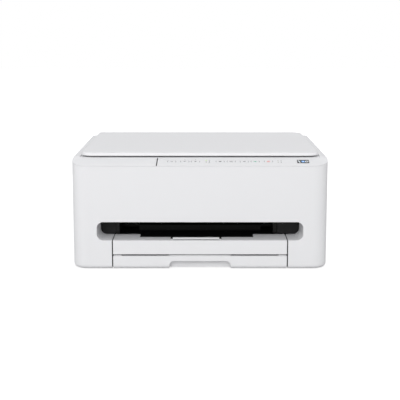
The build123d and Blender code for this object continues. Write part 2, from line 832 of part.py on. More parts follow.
def spur_holder():
    """Bar that covers the spur wheels."""
    edge = plate_x - plate_thickness
    z0 = spur_z + spur_radius + 0.8
    bar = block(-edge, edge, eject_y - bar_front + 1.5, eject_y + bar_front - 1.5, z0, z0 + 2)
    bar += block(-edge, edge, eject_y - bar_front, eject_y - bar_front + 1.5, spur_z, z0 + 2)
    return bar


def pinch_rollers():
    """Rubber rollers that press the sheet on the feed roller."""
    rollers = x_rod(thin_axle, -plate_x - 1, plate_x + 1, pinch_y, pinch_z)
    for index in range(6):
        x = exit_left + 20 + index * (exit_right - exit_left - 40) / 5
        rollers += x_rod(pinch_radius, x - 9, x + 9, pinch_y, pinch_z)
    return rollers


def pinch_holder():
    """Bar over the pinch rollers."""
    edge = plate_x - plate_thickness
    z0 = pinch_z + pinch_radius + fit_gap
    return block(-edge, edge, pinch_y - 3, pinch_y + 8, z0, z0 + 2)


def feed_motor():
    """Motor on the left side plate that turns the feed rollers."""
    x0 = -plate_x + plate_thickness
    x1 = x0 + feed_motor_length
    motor = x_rod(feed_motor_radius, x0, x1, feed_motor_y, feed_motor_z)
    motor += x_rod(feed_motor_radius / 8, x1 - 0.1, x1 + motor_boss, feed_motor_y, feed_motor_z)
    return motor


def paper_guide():
    """Curved guide that turns the sheet from the cassette to the feed roller."""
    y, z = turn_y, turn_z
    inner = turn_radius
    outer = turn_radius + 2.5
    ring = x_rod(outer, -turn_half, turn_half, y, z) - x_rod(inner, -turn_half - 1, turn_half + 1, y, z)
    ring &= block(-turn_half, turn_half, y, y + outer + 1, z - outer, z + outer)
    ring += block(-turn_half, turn_half, pinch_y + 12, y + 0.1, z + inner, z + outer)
    for index in range(7):
        x = -turn_half + 12 + index * (turn_half - 12) / 3
        ring += block(x - 0.8, x + 0.8, y + inner + 0.5, rear_support, z - 10, z + inner - 1)
    for s in (-1, 1):
        ring += block(s * turn_half, s * (rail_x + 0.1), y + 2, y + outer, z - 2, z + 6)
    return ring


def pickup_arm():
    """Swinging arm that carries the pickup roller."""
    x0 = pickup_half + 1
    x1 = x0 + 4
    arm = x_profile([(pickup_pivot_y - 4, pickup_pivot_z - 4), (pickup_pivot_y + 4, pickup_pivot_z - 4),
                     (pickup_y + 5, pickup_z - 4), (pickup_y + 5, pickup_z + 4),
                     (pickup_pivot_y + 4, pickup_pivot_z + 5), (pickup_pivot_y - 4, pickup_pivot_z + 5)],
                    x0, x1)
    arm += x_rod(axle_radius, -rail_x - rail_wall, rail_x + rail_wall, pickup_pivot_y, pickup_pivot_z)
    arm += x_rod(2, -pickup_half - 2, x1, pickup_y, pickup_z)
    return arm


def pickup_roller():
    """Rubber roller that pulls a sheet from the cassette."""
    roller = x_rod(pickup_radius, -pickup_half, pickup_half, pickup_y, pickup_z)
    return roller - x_rod(2 + shaft_gap, -pickup_half - 1, pickup_half + 1, pickup_y, pickup_z)


def purge_unit():
    """Housing of the cleaning station at the right end."""
    x0 = exit_right - purge_overlap
    x1 = plate_x - plate_thickness - 0.5
    box = block(x0, x1, purge_y0, purge_y1, purge_bottom, purge_top)
    box -= block(x0 + 2, x1 - 2, purge_y0 + 3, purge_y1 - 3, purge_bottom + 4, purge_top + 1)
    return box


def cap_sled():
    """Sled with two soft caps that rise to the print heads."""
    x0 = exit_right - purge_overlap + 2 + slide_gap
    x1 = plate_x - plate_thickness - 0.5 - 2 - slide_gap
    z0 = purge_top - 9
    sled = block(x0, x1, purge_y0 + 3 + slide_gap, purge_y1 - 3 - slide_gap, z0, z0 + 5)
    for left, right in cartridge_bays():
        cap = prism(left + 6, right - 6, -20, 9, z0 + 4.9, purge_top + 1, 2)
        sled += cap - prism(left + 7.5, right - 7.5, -18.5, 7.5, z0 + 7, purge_top + 2, 1)
    return sled


def logic_board():
    """Circuit board with its data socket."""
    board = block(board_x0, board_x1, board_y0, board_y1, board_z, board_z + board_thickness)
    top = board_z + board_thickness
    for x_share, y_share, w, d, h in board_chips:
        x = board_x0 + x_share * (board_x1 - board_x0 - w)
        y = board_y0 + y_share * (board_y1 - board_y0 - d)
        board += block(x, x + w, y, y + d, top - 0.1, top + h)
    port = block(port_x - port_half, port_x + port_half, board_y1 - 6, rear - 0.6,
                 port_z - port_rise, port_z + port_rise)
    port -= block(port_x - port_half + 1.2, port_x + port_half - 1.2, rear - 10, rear + 1,
                  port_z - port_rise + 1.2, port_z + port_rise - 1.2)
    port += block(port_x - port_half / 2, port_x + port_half / 2, rear - 10.1, rear - 2,
                  port_z - port_rise / 3, port_z + port_rise / 3)
    return board + port


def power_supply():
    """Closed power pack with the inlet for the mains lead."""
    x0 = -plate_x + plate_thickness + 1
    x1 = -rail_x - rail_wall - 1
    pack = block(x0, x1, pack_front, rear - 20, floor_top + floor_rib, floor_top + pack_height)
    y0 = rear - 20.1
    inlet = facing_prism(inlet_x - inlet_half, inlet_x + inlet_half, inlet_z - inlet_rise,
                         inlet_z + inlet_rise, y0, rear - 0.4, 2)
    cup = facing_prism(inlet_x - inlet_half + 2, inlet_x + inlet_half - 2, inlet_z - inlet_rise + 2,
                       inlet_z + inlet_rise - 2, rear - 14, rear + 1, 3)
    inlet -= cup
    for s in (-1, 1):
        inlet += y_rod(1.2, inlet_x + s * 4.3, rear - 14.1, rear - 4, inlet_z)
    return pack + inlet


def carriage():
    """Carriage with two bays for the ink cartridges."""
    x0 = carriage_home - carriage_width / 2
    x1 = carriage_home + carriage_width / 2
    z0, z1 = carriage_bottom, carriage_top
    body = block(x0, x1, carriage_front, carriage_rear, z0, z1)
    for left, right in cartridge_bays():
        body -= block(left, right, carriage_front - 1, carriage_rear - 9, z0 + 3, z1 + 1)
        body -= block(left + 5, right - 5, -18, 8, z0 - 1, z0 + 4)
        body += block(left - 0.1, right + 0.1, carriage_front, carriage_front + 1.6, z0 + 2.9, z0 + 12)
    body += block(x0 + 4, x1 - 4, carriage_rear - 0.1, guide_y + 6, guide_z - 7.5, guide_z + 8)
    body -= x_rod(guide_radius + shaft_gap, x0 - 1, x1 + 1, guide_y, guide_z)
    body += block(x0 + 10, x1 - 10, track_y + 6, carriage_front + 0.1, track_z + fit_gap, track_z + fit_gap + 4)
    clip = belt_z - pulley_radius - belt_thickness - 0.6
    body += block(carriage_home - 8, carriage_home + 8, guide_y + 5, belt_y + belt_width / 2,
                  guide_z + 4, clip)
    for x, half in lever_places():
        for s in (-1, 1):
            ear = block(x + s * (half + fit_gap), x + s * (half + fit_gap + 2), lever_y - 3, lever_y + 3,
                        z1 - 1, lever_z + 3)
            body += ear
        body -= x_rod(lever_pin + shaft_gap, x - half - 5, x + half + 5, lever_y, lever_z)
    return body


def cartridge_bays():
    """Left and right walls of the two bays."""
    x0 = carriage_home - carriage_width / 2
    return [(x0 + 4, x0 + 24), (x0 + 28, x0 + 60)]


def cartridge(index):
    """Ink cartridge with its print head below."""
    left, right = cartridge_bays()[index]
    left += fit_gap
    right -= fit_gap
    y0 = carriage_front + 1.6 + fit_gap
    y1 = carriage_rear - 9 - fit_gap
    z0 = carriage_bottom + 3 + fit_gap
    tank = block(left, right, y0, y1, z0, carriage_top - 5)
    tank += block(left + 3, right - 3, y0 - 0.1, y0 + 6, carriage_top - 5.1, carriage_top - 2)
    tank += block(left + 5.5, right - 5.5, -17.5, 7.5, carriage_bottom + 0.4, z0 + 0.1)
    return tank


def lever_places():
    """Centre and half width of the two locking levers."""
    return [((left + right) / 2, (right - left) / 2 - 4) for left, right in cartridge_bays()]


def cartridge_lever(index):
    """Locking lever at the back of a cartridge bay."""
    x, half = lever_places()[index]
    lever = block(x - half, x + half, lever_y - lever_length, lever_y, lever_z - 1, lever_z + 1)
    lever += x_rod(2, x - half, x + half, lever_y, lever_z)
    lever += block(x - 4, x + 4, lever_y - lever_length, lever_y - lever_length + 3, lever_z + 0.9, lever_z + 3)
    for s in (-1, 1):
        lever += x_rod(lever_pin, x + s * (half - 0.1), x + s * (half + fit_gap + 1.8), lever_y, lever_z)
    return lever


def hinge_brackets():
    """Two posts at the rear with the pins that the scanner unit swings on."""
    y, z = scanner_hinge_y, scanner_hinge_z
    foot = service_top - service_land / 2 + screw_radius + 1
    posts = []
    for s in (-1, 1):
        x = s * scanner_hinge_x
        post = block(x - 4, x + 4, y - 4, rear - 2 * wall, foot, notch_level)
        post += block(x - 4, x + 4, y - 4, y + 4, notch_level - 0.1, z)
        post += x_rod(4, x - 4, x + 4, y, z)
        post += x_rod(scanner_pin_radius, x - 4, x + 4, y, z)
        post += x_rod(scanner_pin_radius, x - s * 10, x, y, z)
        posts.append(post)
    return posts


def frame_form(inset):
    """Solid form of the scanner's top frame with its slanted strip, or the hollow inside it."""
    base = strip_foot - (1 if inset else 0)
    top = frame_under if inset else frame_top + frame_lift
    form = case_slab(inset, base, top)
    if not inset:
        form = fillet(form.faces().sort_by(Axis.Z)[-1].edges(), frame_edge_fillet)
    slope = atan2(strip_rise, strip_run)
    drop = inset / cos(slope)
    run = strip_run * 1.5
    rise = strip_rise * 1.5
    cut = [(front - 1, slant_foot - drop - strip_rise / strip_run), (front + run, slant_foot + rise - drop),
           (front + run, frame_top + 20), (front - 1, frame_top + 20)]
    form -= x_profile(cut, -half_width - 1, half_width + 1)
    if inset:
        return form
    seat = lid_half + lid_seat_gap
    return form - block(-seat, seat, front - 1, lid_rear + lid_seat_rear_gap, frame_top, frame_top + 20)


def seat_cut():
    """Room that the scanner unit leaves for the rim of the casing."""
    return edge_ring(wall + fit_gap, 1, strip_foot - 2, rim_level) & rim_side(seam_gap, fit_gap)


def panel_region(side_gap, rear_gap):
    """Upright block over the operation panel, grown by a gap at its left and at its rear."""
    x_top = panel_split - side_gap
    x_foot = panel_split - panel_split_slant - side_gap
    y1 = front + panel_depth + rear_gap
    return z_profile([(x_foot, front - 1), (half_width + 1, front - 1), (half_width + 1, y1), (x_top, y1)],
                     strip_foot - 2, frame_top + 2)


def scanner_cover():
    """Top frame of the scanner unit around the glass."""
    cover = frame_form(0) - frame_form(wall)
    cover -= panel_region(panel_gap, panel_rear_gap)
    lip = front + panel_depth + panel_rear_gap
    below = frame_form(wall + fit_gap) - frame_form(2 * wall)
    cover += below & block(panel_split, half_width, lip - 5, lip + 6, strip_foot, frame_top)
    joined = frame_form(wall) - frame_form(2 * wall)
    cover += joined & block(panel_split, half_width, lip, lip + 6, strip_foot, frame_top)
    cover -= block(-window_x, window_x, window_y0, window_y1, frame_under - 1, frame_top + 1)
    seat = lid_half + lid_seat_gap
    cover -= block(-seat, seat, lid_hinge_y - 4, lid_rear + lid_seat_rear_gap,
                   frame_top - groove_depth, frame_top + 1)
    for s in (-1, 1):
        x = s * lid_hinge_x
        half = lid_hinge_width / 2
        cover += block(x - half - 2, x + half + 2, lid_hinge_y - lid_eye_radius - 1.9,
                       rear - wall - fit_gap, socket_bottom, frame_under + 0.1)
        cover -= block(x - half - fit_gap, x + half + fit_gap, lid_hinge_y - lid_eye_radius - fit_gap,
                       lid_hinge_y + lid_eye_radius + fit_gap, socket_bottom - 1, frame_top + 1)
    return cover - seat_cut()


def operation_panel():
    """Right part of the slanted strip, with the openings for the buttons."""
    panel = (frame_form(0) - frame_form(wall)) & panel_region(0, 0)
    for x in button_places():
        hole = strip_plane(x, button_along) * RectangleRounded(
            button_width + 2 * button_gap, button_height + 2 * button_gap, button_radius + button_gap)
        panel -= extrude(hole, 2) + extrude(hole, -wall - 2)
    window = strip_plane(display_x, button_along) * RectangleRounded(
        display_width + fit_gap, display_height + fit_gap, 1)
    panel -= extrude(window, 2) + extrude(window, -wall - 2)
    return panel - seat_cut()


def button_places():
    """Centres of the eight buttons along the strip."""
    return [button_left + step for step in button_steps]


def panel_button(x):
    """Flush button with the stem that meets its switch."""
    top = strip_plane(x, button_along)
    cap = extrude(top * RectangleRounded(button_width, button_height, button_radius), -wall)
    stem = extrude(top * Circle(1.6), -board_depth + button_travel + 0.2)
    return cap + stem


def display_window():
    """Small dark window at the right end of the panel."""
    face = strip_plane(display_x, button_along) * RectangleRounded(display_width, display_height, 0.8)
    return extrude(face, -wall)


def control_board():
    """Circuit board below the operation panel."""
    middle = (panel_split + display_x) / 2 + 6
    length = display_x - panel_split + 6
    face = strip_plane(middle, button_along) * Rectangle(length, 18)
    board = extrude(face, -board_depth - 1.6) - extrude(face, -board_depth)
    posts = []
    for x in (middle - length / 2 + 4, middle + length / 2 - 4, button_left + 54):
        for along in (button_along - 6.5, button_along + 6.5):
            post = strip_plane(x, along) * Circle(1.5)
            posts.append(extrude(post, -board_depth - 0.1) - extrude(post, -wall))
    for post in posts:
        board += post
    return board


def scanner_base():
    """Tub below the glass, with the ears that swing on the rear pins."""
    x, y0, y1 = tub_x, tub_y0, tub_y1
    tub = block(-x, x, y0, y1, tub_bottom, frame_under)
    edge = 2 * wall
    tub -= block(-x + edge, x - edge, y0 + edge, y1 - edge, tub_bottom + wall, frame_under + 1)
    tub -= block(-x + wall, x - wall, y0 + wall, y1 - wall, frame_under - glass_thickness, frame_under + 1)
    for s in (-1, 1):
        x0 = s * (scanner_hinge_x - 4 - slide_gap)
        x1 = s * (scanner_hinge_x - 4 - slide_gap - ear_width)
        ear = block(x0, x1, y1 - 0.1, scanner_hinge_y, scanner_hinge_z - ear_radius,
                    scanner_hinge_z + ear_radius)
        ear += x_rod(ear_radius, x0, x1, scanner_hinge_y, scanner_hinge_z)
        ear -= x_rod(scanner_pin_radius + shaft_gap, x0 + s, x1 - s, scanner_hinge_y, scanner_hinge_z)
        tub += ear
    return tub


def platen_glass():
    """Glass plate that the document lies on."""
    y = glass_centre_y
    return block(-glass_length / 2, glass_length / 2, y - glass_width / 2, y + glass_width / 2,
                 frame_under - glass_thickness, frame_under)


def scan_rod():
    """Rod that the scan head slides on."""
    edge = tub_x - 2 * wall
    return x_rod(rod_radius, -edge, edge, glass_centre_y, rod_z)


def scan_head():
    """Image sensor bar with its carrier on the rod."""
    x0 = -tub_x + 2 * wall + 2
    x1 = x0 + head_width
    z1 = frame_under - glass_thickness - head_gap
    y0 = tub_y0 + 2 * wall + 2
    y1 = tub_y1 - 2 * wall - 2
    head = block(x0, x1, y0, y1, z1 - 12, z1)
    head -= block(x0 + 8, x0 + 11, y0 + 4, y1 - 4, z1 - 2, z1 + 1)
    head += block(x0, x1, glass_centre_y - 8, glass_centre_y + 8, tub_bottom + wall + 1, z1 - 11.9)
    head += block(x0, x1, glass_centre_y + 8, glass_centre_y + 34, tub_bottom + wall + 2, z1 - 11.9)
    return head - x_rod(rod_radius + shaft_gap, x0 - 1, x1 + 1, glass_centre_y, rod_z)


def cover_hinges():
    """Two flat posts that lift in the frame and carry the hinge pins of the cover."""
    posts = []
    y, z = lid_hinge_y, lid_hinge_z
    half = lid_hinge_width / 2
    for s in (-1, 1):
        x = s * lid_hinge_x
        post = block(x - half, x + half, y - lid_eye_radius, y + lid_eye_radius, socket_bottom + 1, z)
        post += x_rod(lid_eye_radius, x - half, x + half, y, z)
        post += x_rod(lid_pin_radius, x - half - 3, x + half + 3, y, z)
        posts.append(post)
    return posts


def lid_outline():
    """Plan of the document cover with its three sizes of corner."""
    plan = Pos(0, (lid_front + lid_rear) / 2) * Rectangle(2 * lid_half, lid_rear - lid_front)
    plan = fillet(plan.vertices().sort_by(Axis.Y)[:2], lid_front_radius)
    plan = fillet(plan.vertices().group_by(Axis.Y)[-1].sort_by(Axis.X)[0], lid_left_radius)
    return fillet(plan.vertices().group_by(Axis.Y)[-1].sort_by(Axis.X)[-1], lid_right_radius)


def document_cover():
    """Lid over the glass, hollow below, with the hinge ears at its rear edge."""
    lid = extrude(Pos(0, 0, lid_under) * lid_outline(), lid_thickness)
    top = lid.faces().sort_by(Axis.Z)[-1]
    lid = fillet(top.edges(), lid_edge_fillet)
    lid -= prism(-lid_half + 3, lid_half - 3, lid_front + 3, lid_hinge_y - 12,
                 lid_under - 1, lid_ceiling, lid_front_radius - 3)
    for s in (-1, 1):
        x = s * lid_hinge_x
        half = lid_hinge_width / 2 + fit_gap
        lid += block(x - half - 5, x + half + 5, lid_hinge_y - 3.5, lid_rear - 0.2,
                     lid_under - lid_ear_drop, lid_under + 1)
        lid -= block(x - half, x + half, lid_hinge_y - lid_eye_radius - 0.6, lid_rear + 1,
                     lid_under - 2, lid_top - lid_skin)
        lid -= x_rod(lid_pin_radius + shaft_gap, x - half - 3.2, x + half + 3.2, lid_hinge_y, lid_hinge_z)
    return lid


def document_pad():
    """White foam pad that presses the document on the glass."""
    m = pad_margin
    return prism(-window_x + m, window_x - m, window_y0 + m, window_y1 - m,
                 frame_under + pad_gap, lid_ceiling, 2)


def roller_holders():
    """Bars that cover the spur wheels and the pinch rollers."""
    return [spur_holder(), pinch_holder()]


def sub_parts():
    """Every sub-part by its name."""
    parts = {
        "outer_cover": outer_cover(), "rear_cover": rear_cover(), "rear_door": rear_door(),
        "case_screws": case_screws(), "bottom_case": bottom_case(), "rubber_feet": rubber_feet(),
        "output_liner": output_liner(), "output_tray": output_tray(), "tray_plate": tray_plate(),
        "paper_stopper": paper_stopper(), "cassette_tray": cassette_tray(),
        "cassette_front": cassette_front(), "side_guide_left": side_guide(-1),
        "side_guide_right": side_guide(1), "length_guide": length_guide(),
        "main_frame": main_frame(), "guide_shaft": guide_shaft(), "carriage_belt": carriage_belt(),
        "motor_pulley": belt_pulley(motor_x), "idler_pulley": belt_pulley(idler_x),
        "carriage_motor": carriage_motor(), "platen": platen(), "feed_roller": feed_roller(),
        "eject_roller": eject_roller(), "spur_wheels": spur_wheels(), "pinch_rollers": pinch_rollers(),
        "roller_holders": roller_holders(), "feed_motor": feed_motor(), "paper_guide": paper_guide(),
        "pickup_arm": pickup_arm(), "pickup_roller": pickup_roller(), "purge_unit": purge_unit(),
        "cap_sled": cap_sled(), "logic_board": logic_board(), "power_supply": power_supply(),
        "carriage": carriage(), "black_cartridge": cartridge(0), "colour_cartridge": cartridge(1),
        "black_lever": cartridge_lever(0), "colour_lever": cartridge_lever(1),
        "hinge_brackets": hinge_brackets(), "scanner_cover": scanner_cover(),
        "operation_panel": operation_panel(), "display_window": display_window(),
        "control_board": control_board(), "scanner_base": scanner_base(),
        "platen_glass": platen_glass(), "scan_rod": scan_rod(), "scan_head": scan_head(),
        "cover_hinges": cover_hinges(), "document_cover": document_cover(),
        "document_pad": document_pad(),
    }
    for number, x in enumerate(button_places(), start=1):
        parts[f"panel_button_{number}"] = panel_button(x)
    return parts


os.makedirs("parts", exist_ok=True)
for name, shape in sub_parts().items():
    if isinstance(shape, list):
        shape = Compound(children=shape)
    export_step(shape, f"parts/{name}.step")
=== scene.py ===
import json
import math
from functools import partial
import bmesh
import bpy
from mathutils import Matrix, Vector


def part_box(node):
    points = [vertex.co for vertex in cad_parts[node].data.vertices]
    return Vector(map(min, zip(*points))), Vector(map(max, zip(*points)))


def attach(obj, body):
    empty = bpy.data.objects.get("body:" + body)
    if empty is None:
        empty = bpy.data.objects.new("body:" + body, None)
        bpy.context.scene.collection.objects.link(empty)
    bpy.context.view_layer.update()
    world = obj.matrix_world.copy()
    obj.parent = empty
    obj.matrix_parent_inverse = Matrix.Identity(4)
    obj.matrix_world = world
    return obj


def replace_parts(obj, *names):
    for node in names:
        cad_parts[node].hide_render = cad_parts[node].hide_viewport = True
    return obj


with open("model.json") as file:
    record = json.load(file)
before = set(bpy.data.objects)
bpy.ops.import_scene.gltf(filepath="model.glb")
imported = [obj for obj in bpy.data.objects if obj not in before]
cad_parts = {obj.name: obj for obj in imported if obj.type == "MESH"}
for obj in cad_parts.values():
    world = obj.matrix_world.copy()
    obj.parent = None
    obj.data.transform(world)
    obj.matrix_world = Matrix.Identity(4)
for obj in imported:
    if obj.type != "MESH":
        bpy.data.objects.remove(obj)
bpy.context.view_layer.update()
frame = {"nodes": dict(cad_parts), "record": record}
nodes = frame["nodes"]
scene = bpy.context.scene
mm = 0.001

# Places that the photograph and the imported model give
case_low, case_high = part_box("outer_cover")
front_y = case_low.y
photo_focal_px = 1005.0
photo_size_px = 400.0
camera_distance = 1.460
camera_height = 0.3667
camera_pitch = math.radians(10.15)
sensor_width = 36.0

# The slanted strip: its run, its rise and the height of its lower edge above the panel's lowest point
strip_run = 28.9 * mm
strip_rise = 8.9 * mm
strip_edge = 0.65 * mm
strip_slope = math.atan2(strip_rise, strip_run)
strip_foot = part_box("operation_panel")[0].z + strip_edge
print_thickness = 0.06 * mm

# Studio: what the lamps look at, the surround's strength, the floor's tone and how its glow grows outwards
casing_middle = (0, 0, 0.08)
cover_middle = (0, 0, 0.1)
ambient_strength = 0.42
floor_size = 12.0
floor_tone = 0.45
glow_start, glow_end = 0.3, 1.6
glow_low, glow_high = 0.73, 0.94

# Surfaces: scale of their broad variation, depth of their grain, and the steel axles inside the rollers
broad_scale = 14.0
relief_depth = 0.2 * mm
axle_radius = 3.2 * mm
pin_radius = 1.2 * mm
axle_roughness = 0.25
gear_edge = -172 * mm
no_gear = -1.0


def make_camera():
    """Camera in front of the object, a little above it, as in the photograph."""
    data = bpy.data.cameras.new("camera")
    data.sensor_width = sensor_width
    data.lens = photo_focal_px / photo_size_px * sensor_width
    camera = bpy.data.objects.new("camera", data)
    scene.collection.objects.link(camera)
    camera.location = (0.0, front_y - camera_distance, camera_height)
    camera.rotation_euler = (math.pi / 2 - camera_pitch, 0.0, 0.0)
    scene.camera = camera
    scene.view_settings.view_transform = "Standard"


def area_lamp(name, place, target, size, power, glossy=True):
    """Soft square lamp that looks at a point."""
    data = bpy.data.lights.new(name, "AREA")
    data.size = size
    data.energy = power
    lamp = bpy.data.objects.new(name, data)
    scene.collection.objects.link(lamp)
    lamp.location = place
    aim = Vector(target) - Vector(place)
    lamp.rotation_euler = aim.to_track_quat("-Z", "Y").to_euler()
    lamp.visible_glossy = glossy


def make_light():
    """Even studio light, with a white surround for the camera, gloss and glass."""
    area_lamp("lamp_front", (-0.25, -2.4, 0.9), casing_middle, 1.6, 38.0)
    area_lamp("lamp_top", (0.0, -0.3, 2.2), cover_middle, 1.8, 6.6)
    area_lamp("lamp_left", (-2.0, -0.2, 0.8), casing_middle, 1.2, 7.0)
    area_lamp("lamp_right", (2.0, -0.1, 0.8), casing_middle, 1.2, 6.4)
    area_lamp("lamp_back", (0.3, 2.2, 1.2), casing_middle, 1.6, 18.0, glossy=False)
    world = bpy.data.worlds.new("world")
    scene.world = world
    world.use_nodes = True
    tree = world.node_tree
    tree.nodes.clear()
    output = tree.nodes.new("ShaderNodeOutputWorld")
    mix = tree.nodes.new("ShaderNodeMixShader")
    ambient = tree.nodes.new("ShaderNodeBackground")
    ambient.inputs["Color"].default_value = (0.98, 0.99, 1.0, 1.0)
    ambient.inputs["Strength"].default_value = ambient_strength
    white = tree.nodes.new("ShaderNodeBackground")
    white.inputs["Color"].default_value = (1.0, 1.0, 1.0, 1.0)
    white.inputs["Strength"].default_value = 1.0
    tree.links.new(seen_directly(tree), mix.inputs[0])
    tree.links.new(ambient.outputs[0], mix.inputs[1])
    tree.links.new(white.outputs[0], mix.inputs[2])
    tree.links.new(mix.outputs[0], output.inputs[0])


def seen_directly(tree):
    """Socket that is 1 for what the camera sees directly, in gloss or through glass."""
    path = tree.nodes.new("ShaderNodeLightPath")
    first = math_node(tree, "MAXIMUM", path.outputs["Is Camera Ray"], path.outputs["Is Glossy Ray"])
    return math_node(tree, "MAXIMUM", first, path.outputs["Is Transmission Ray"])


def math_node(tree, operation, *values):
    """Math node whose inputs are sockets or numbers; gives its output."""
    node = tree.nodes.new("ShaderNodeMath")
    node.operation = operation
    for slot, value in zip(node.inputs, values):
        if isinstance(value, (int, float)):
            slot.default_value = value
        else:
            tree.links.new(value, slot)
    return node.outputs[0]


def make_floor():
    """Pale floor that shows white and keeps the object's soft shadow."""
    bpy.ops.mesh.primitive_plane_add(size=floor_size, location=(0, 0, 0))
    floor = bpy.context.object
    floor.name = "studio_floor"
    material = bpy.data.materials.new("floor_paper")
    material.use_nodes = True
    tree = material.node_tree
    tree.nodes.clear()
    output = tree.nodes.new("ShaderNodeOutputMaterial")
    paper = tree.nodes.new("ShaderNodeBsdfDiffuse")
    paper.inputs["Color"].default_value = (floor_tone, floor_tone, floor_tone, 1.0)
    place = tree.nodes.new("ShaderNodeTexCoord")
    distance = tree.nodes.new("ShaderNodeVectorMath")
    distance.operation = "LENGTH"
    tree.links.new(place.outputs["Object"], distance.inputs[0])
    reach = tree.nodes.new("ShaderNodeMapRange")
    reach.inputs["From Min"].default_value = glow_start
    reach.inputs["From Max"].default_value = glow_end
    reach.inputs["To Min"].default_value = glow_low
    reach.inputs["To Max"].default_value = glow_high
    tree.links.new(distance.outputs["Value"], reach.inputs["Value"])
    glow = tree.nodes.new("ShaderNodeEmission")
    glow.inputs["Color"].default_value = (1.0, 1.0, 1.0, 1.0)
    strength = math_node(tree, "MULTIPLY", seen_directly(tree), reach.outputs["Result"])
    both = tree.nodes.new("ShaderNodeAddShader")
    tree.links.new(strength, glow.inputs["Strength"])
    tree.links.new(paper.outputs[0], both.inputs[0])
    tree.links.new(glow.outputs[0], both.inputs[1])
    tree.links.new(both.outputs[0], output.inputs[0])
    floor.data.materials.append(material)


def shader(name, color, roughness, metallic=0.0, grain=2600.0, bump=0.05, tint=0.03, spread=0.05, gloss=0.5,
           edge=0.3):
    """Moulded or metal surface with fine grain, soft edges, and slight variation of colour and gloss."""
    material = bpy.data.materials.new(name)
    material.use_nodes = True
    tree = material.node_tree
    node = tree.nodes["Principled BSDF"]
    node.inputs["Metallic"].default_value = metallic
    node.inputs["Specular IOR Level"].default_value = gloss
    place = tree.nodes.new("ShaderNodeTexCoord")
    fine = tree.nodes.new("ShaderNodeTexNoise")
    fine.inputs["Scale"].default_value = grain
    fine.inputs["Detail"].default_value = 3.0
    broad = tree.nodes.new("ShaderNodeTexNoise")
    broad.inputs["Scale"].default_value = broad_scale
    broad.inputs["Detail"].default_value = 2.0
    for texture in (fine, broad):
        tree.links.new(place.outputs["Object"], texture.inputs["Vector"])
    ramp = tree.nodes.new("ShaderNodeMapRange")
    ramp.inputs["To Min"].default_value = roughness - spread
    ramp.inputs["To Max"].default_value = roughness + spread
    tree.links.new(broad.outputs["Fac"], ramp.inputs["Value"])
    tree.links.new(ramp.outputs["Result"], node.inputs["Roughness"])
    mix = tree.nodes.new("ShaderNodeMix")
    mix.data_type = "RGBA"
    mix.inputs["A"].default_value = [c * (1 - tint) for c in color] + [1.0]
    mix.inputs["B"].default_value = [min(1.0, c * (1 + tint)) for c in color] + [1.0]
    tree.links.new(broad.outputs["Fac"], mix.inputs["Factor"])
    tree.links.new(mix.outputs["Result"], node.inputs["Base Color"])
    relief = tree.nodes.new("ShaderNodeBump")
    relief.inputs["Strength"].default_value = bump
    relief.inputs["Distance"].default_value = relief_depth
    tree.links.new(fine.outputs["Fac"], relief.inputs["Height"])
    tree.links.new(relief.outputs["Normal"], node.inputs["Normal"])
    if edge:
        soft = tree.nodes.new("ShaderNodeBevel")
        soft.samples = 4
        soft.inputs["Radius"].default_value = edge * mm
        tree.links.new(soft.outputs["Normal"], relief.inputs["Normal"])
    return material


def laid_over(tree, under, mask, tone):
    """Colour socket with a tone laid over it where the mask is 1."""
    mix = tree.nodes.new("ShaderNodeMix")
    mix.data_type = "RGBA"
    tree.links.new(mask, mix.inputs["Factor"])
    tree.links.new(under, mix.inputs["A"])
    mix.inputs["B"].default_value = list(tone) + [1.0]
    return mix.outputs["Result"]


def glass_shader(name):
    """Clear float glass."""
    material = shader(name, (0.93, 0.97, 0.95), 0.04, bump=0.002, tint=0.01, spread=0.01, edge=0)
    node = material.node_tree.nodes["Principled BSDF"]
    node.inputs["Transmission Weight"].default_value = 0.92
    node.inputs["IOR"].default_value = 1.5
    return material


def glowing(name, color, strength, roughness=0.25):
    """Lit window or lamp lens that glows softly."""
    material = shader(name, color, roughness, bump=0.01, tint=0.05, edge=0)
    node = material.node_tree.nodes["Principled BSDF"]
    node.inputs["Emission Color"].default_value = list(color) + [1.0]
    node.inputs["Emission Strength"].default_value = strength
    return material


def brushed(name, color, roughness, stretch):
    """Metal with fine lines drawn along one direction."""
    material = shader(name, color, roughness, metallic=1.0, bump=0.0, tint=0.02, spread=0.04, edge=0.2)
    tree = material.node_tree
    place = tree.nodes["Texture Coordinate"]
    lines = tree.nodes.new("ShaderNodeMapping")
    lines.inputs["Scale"].default_value = stretch
    streaks = tree.nodes.new("ShaderNodeTexNoise")
    streaks.inputs["Scale"].default_value = 60.0
    streaks.inputs["Detail"].default_value = 4.0
    tree.links.new(place.outputs["Object"], lines.inputs["Vector"])
    tree.links.new(lines.outputs["Vector"], streaks.inputs["Vector"])
    relief = tree.nodes["Bump"]
    relief.inputs["Strength"].default_value = 0.12
    tree.links.new(streaks.outputs["Fac"], relief.inputs["Height"])
    return material


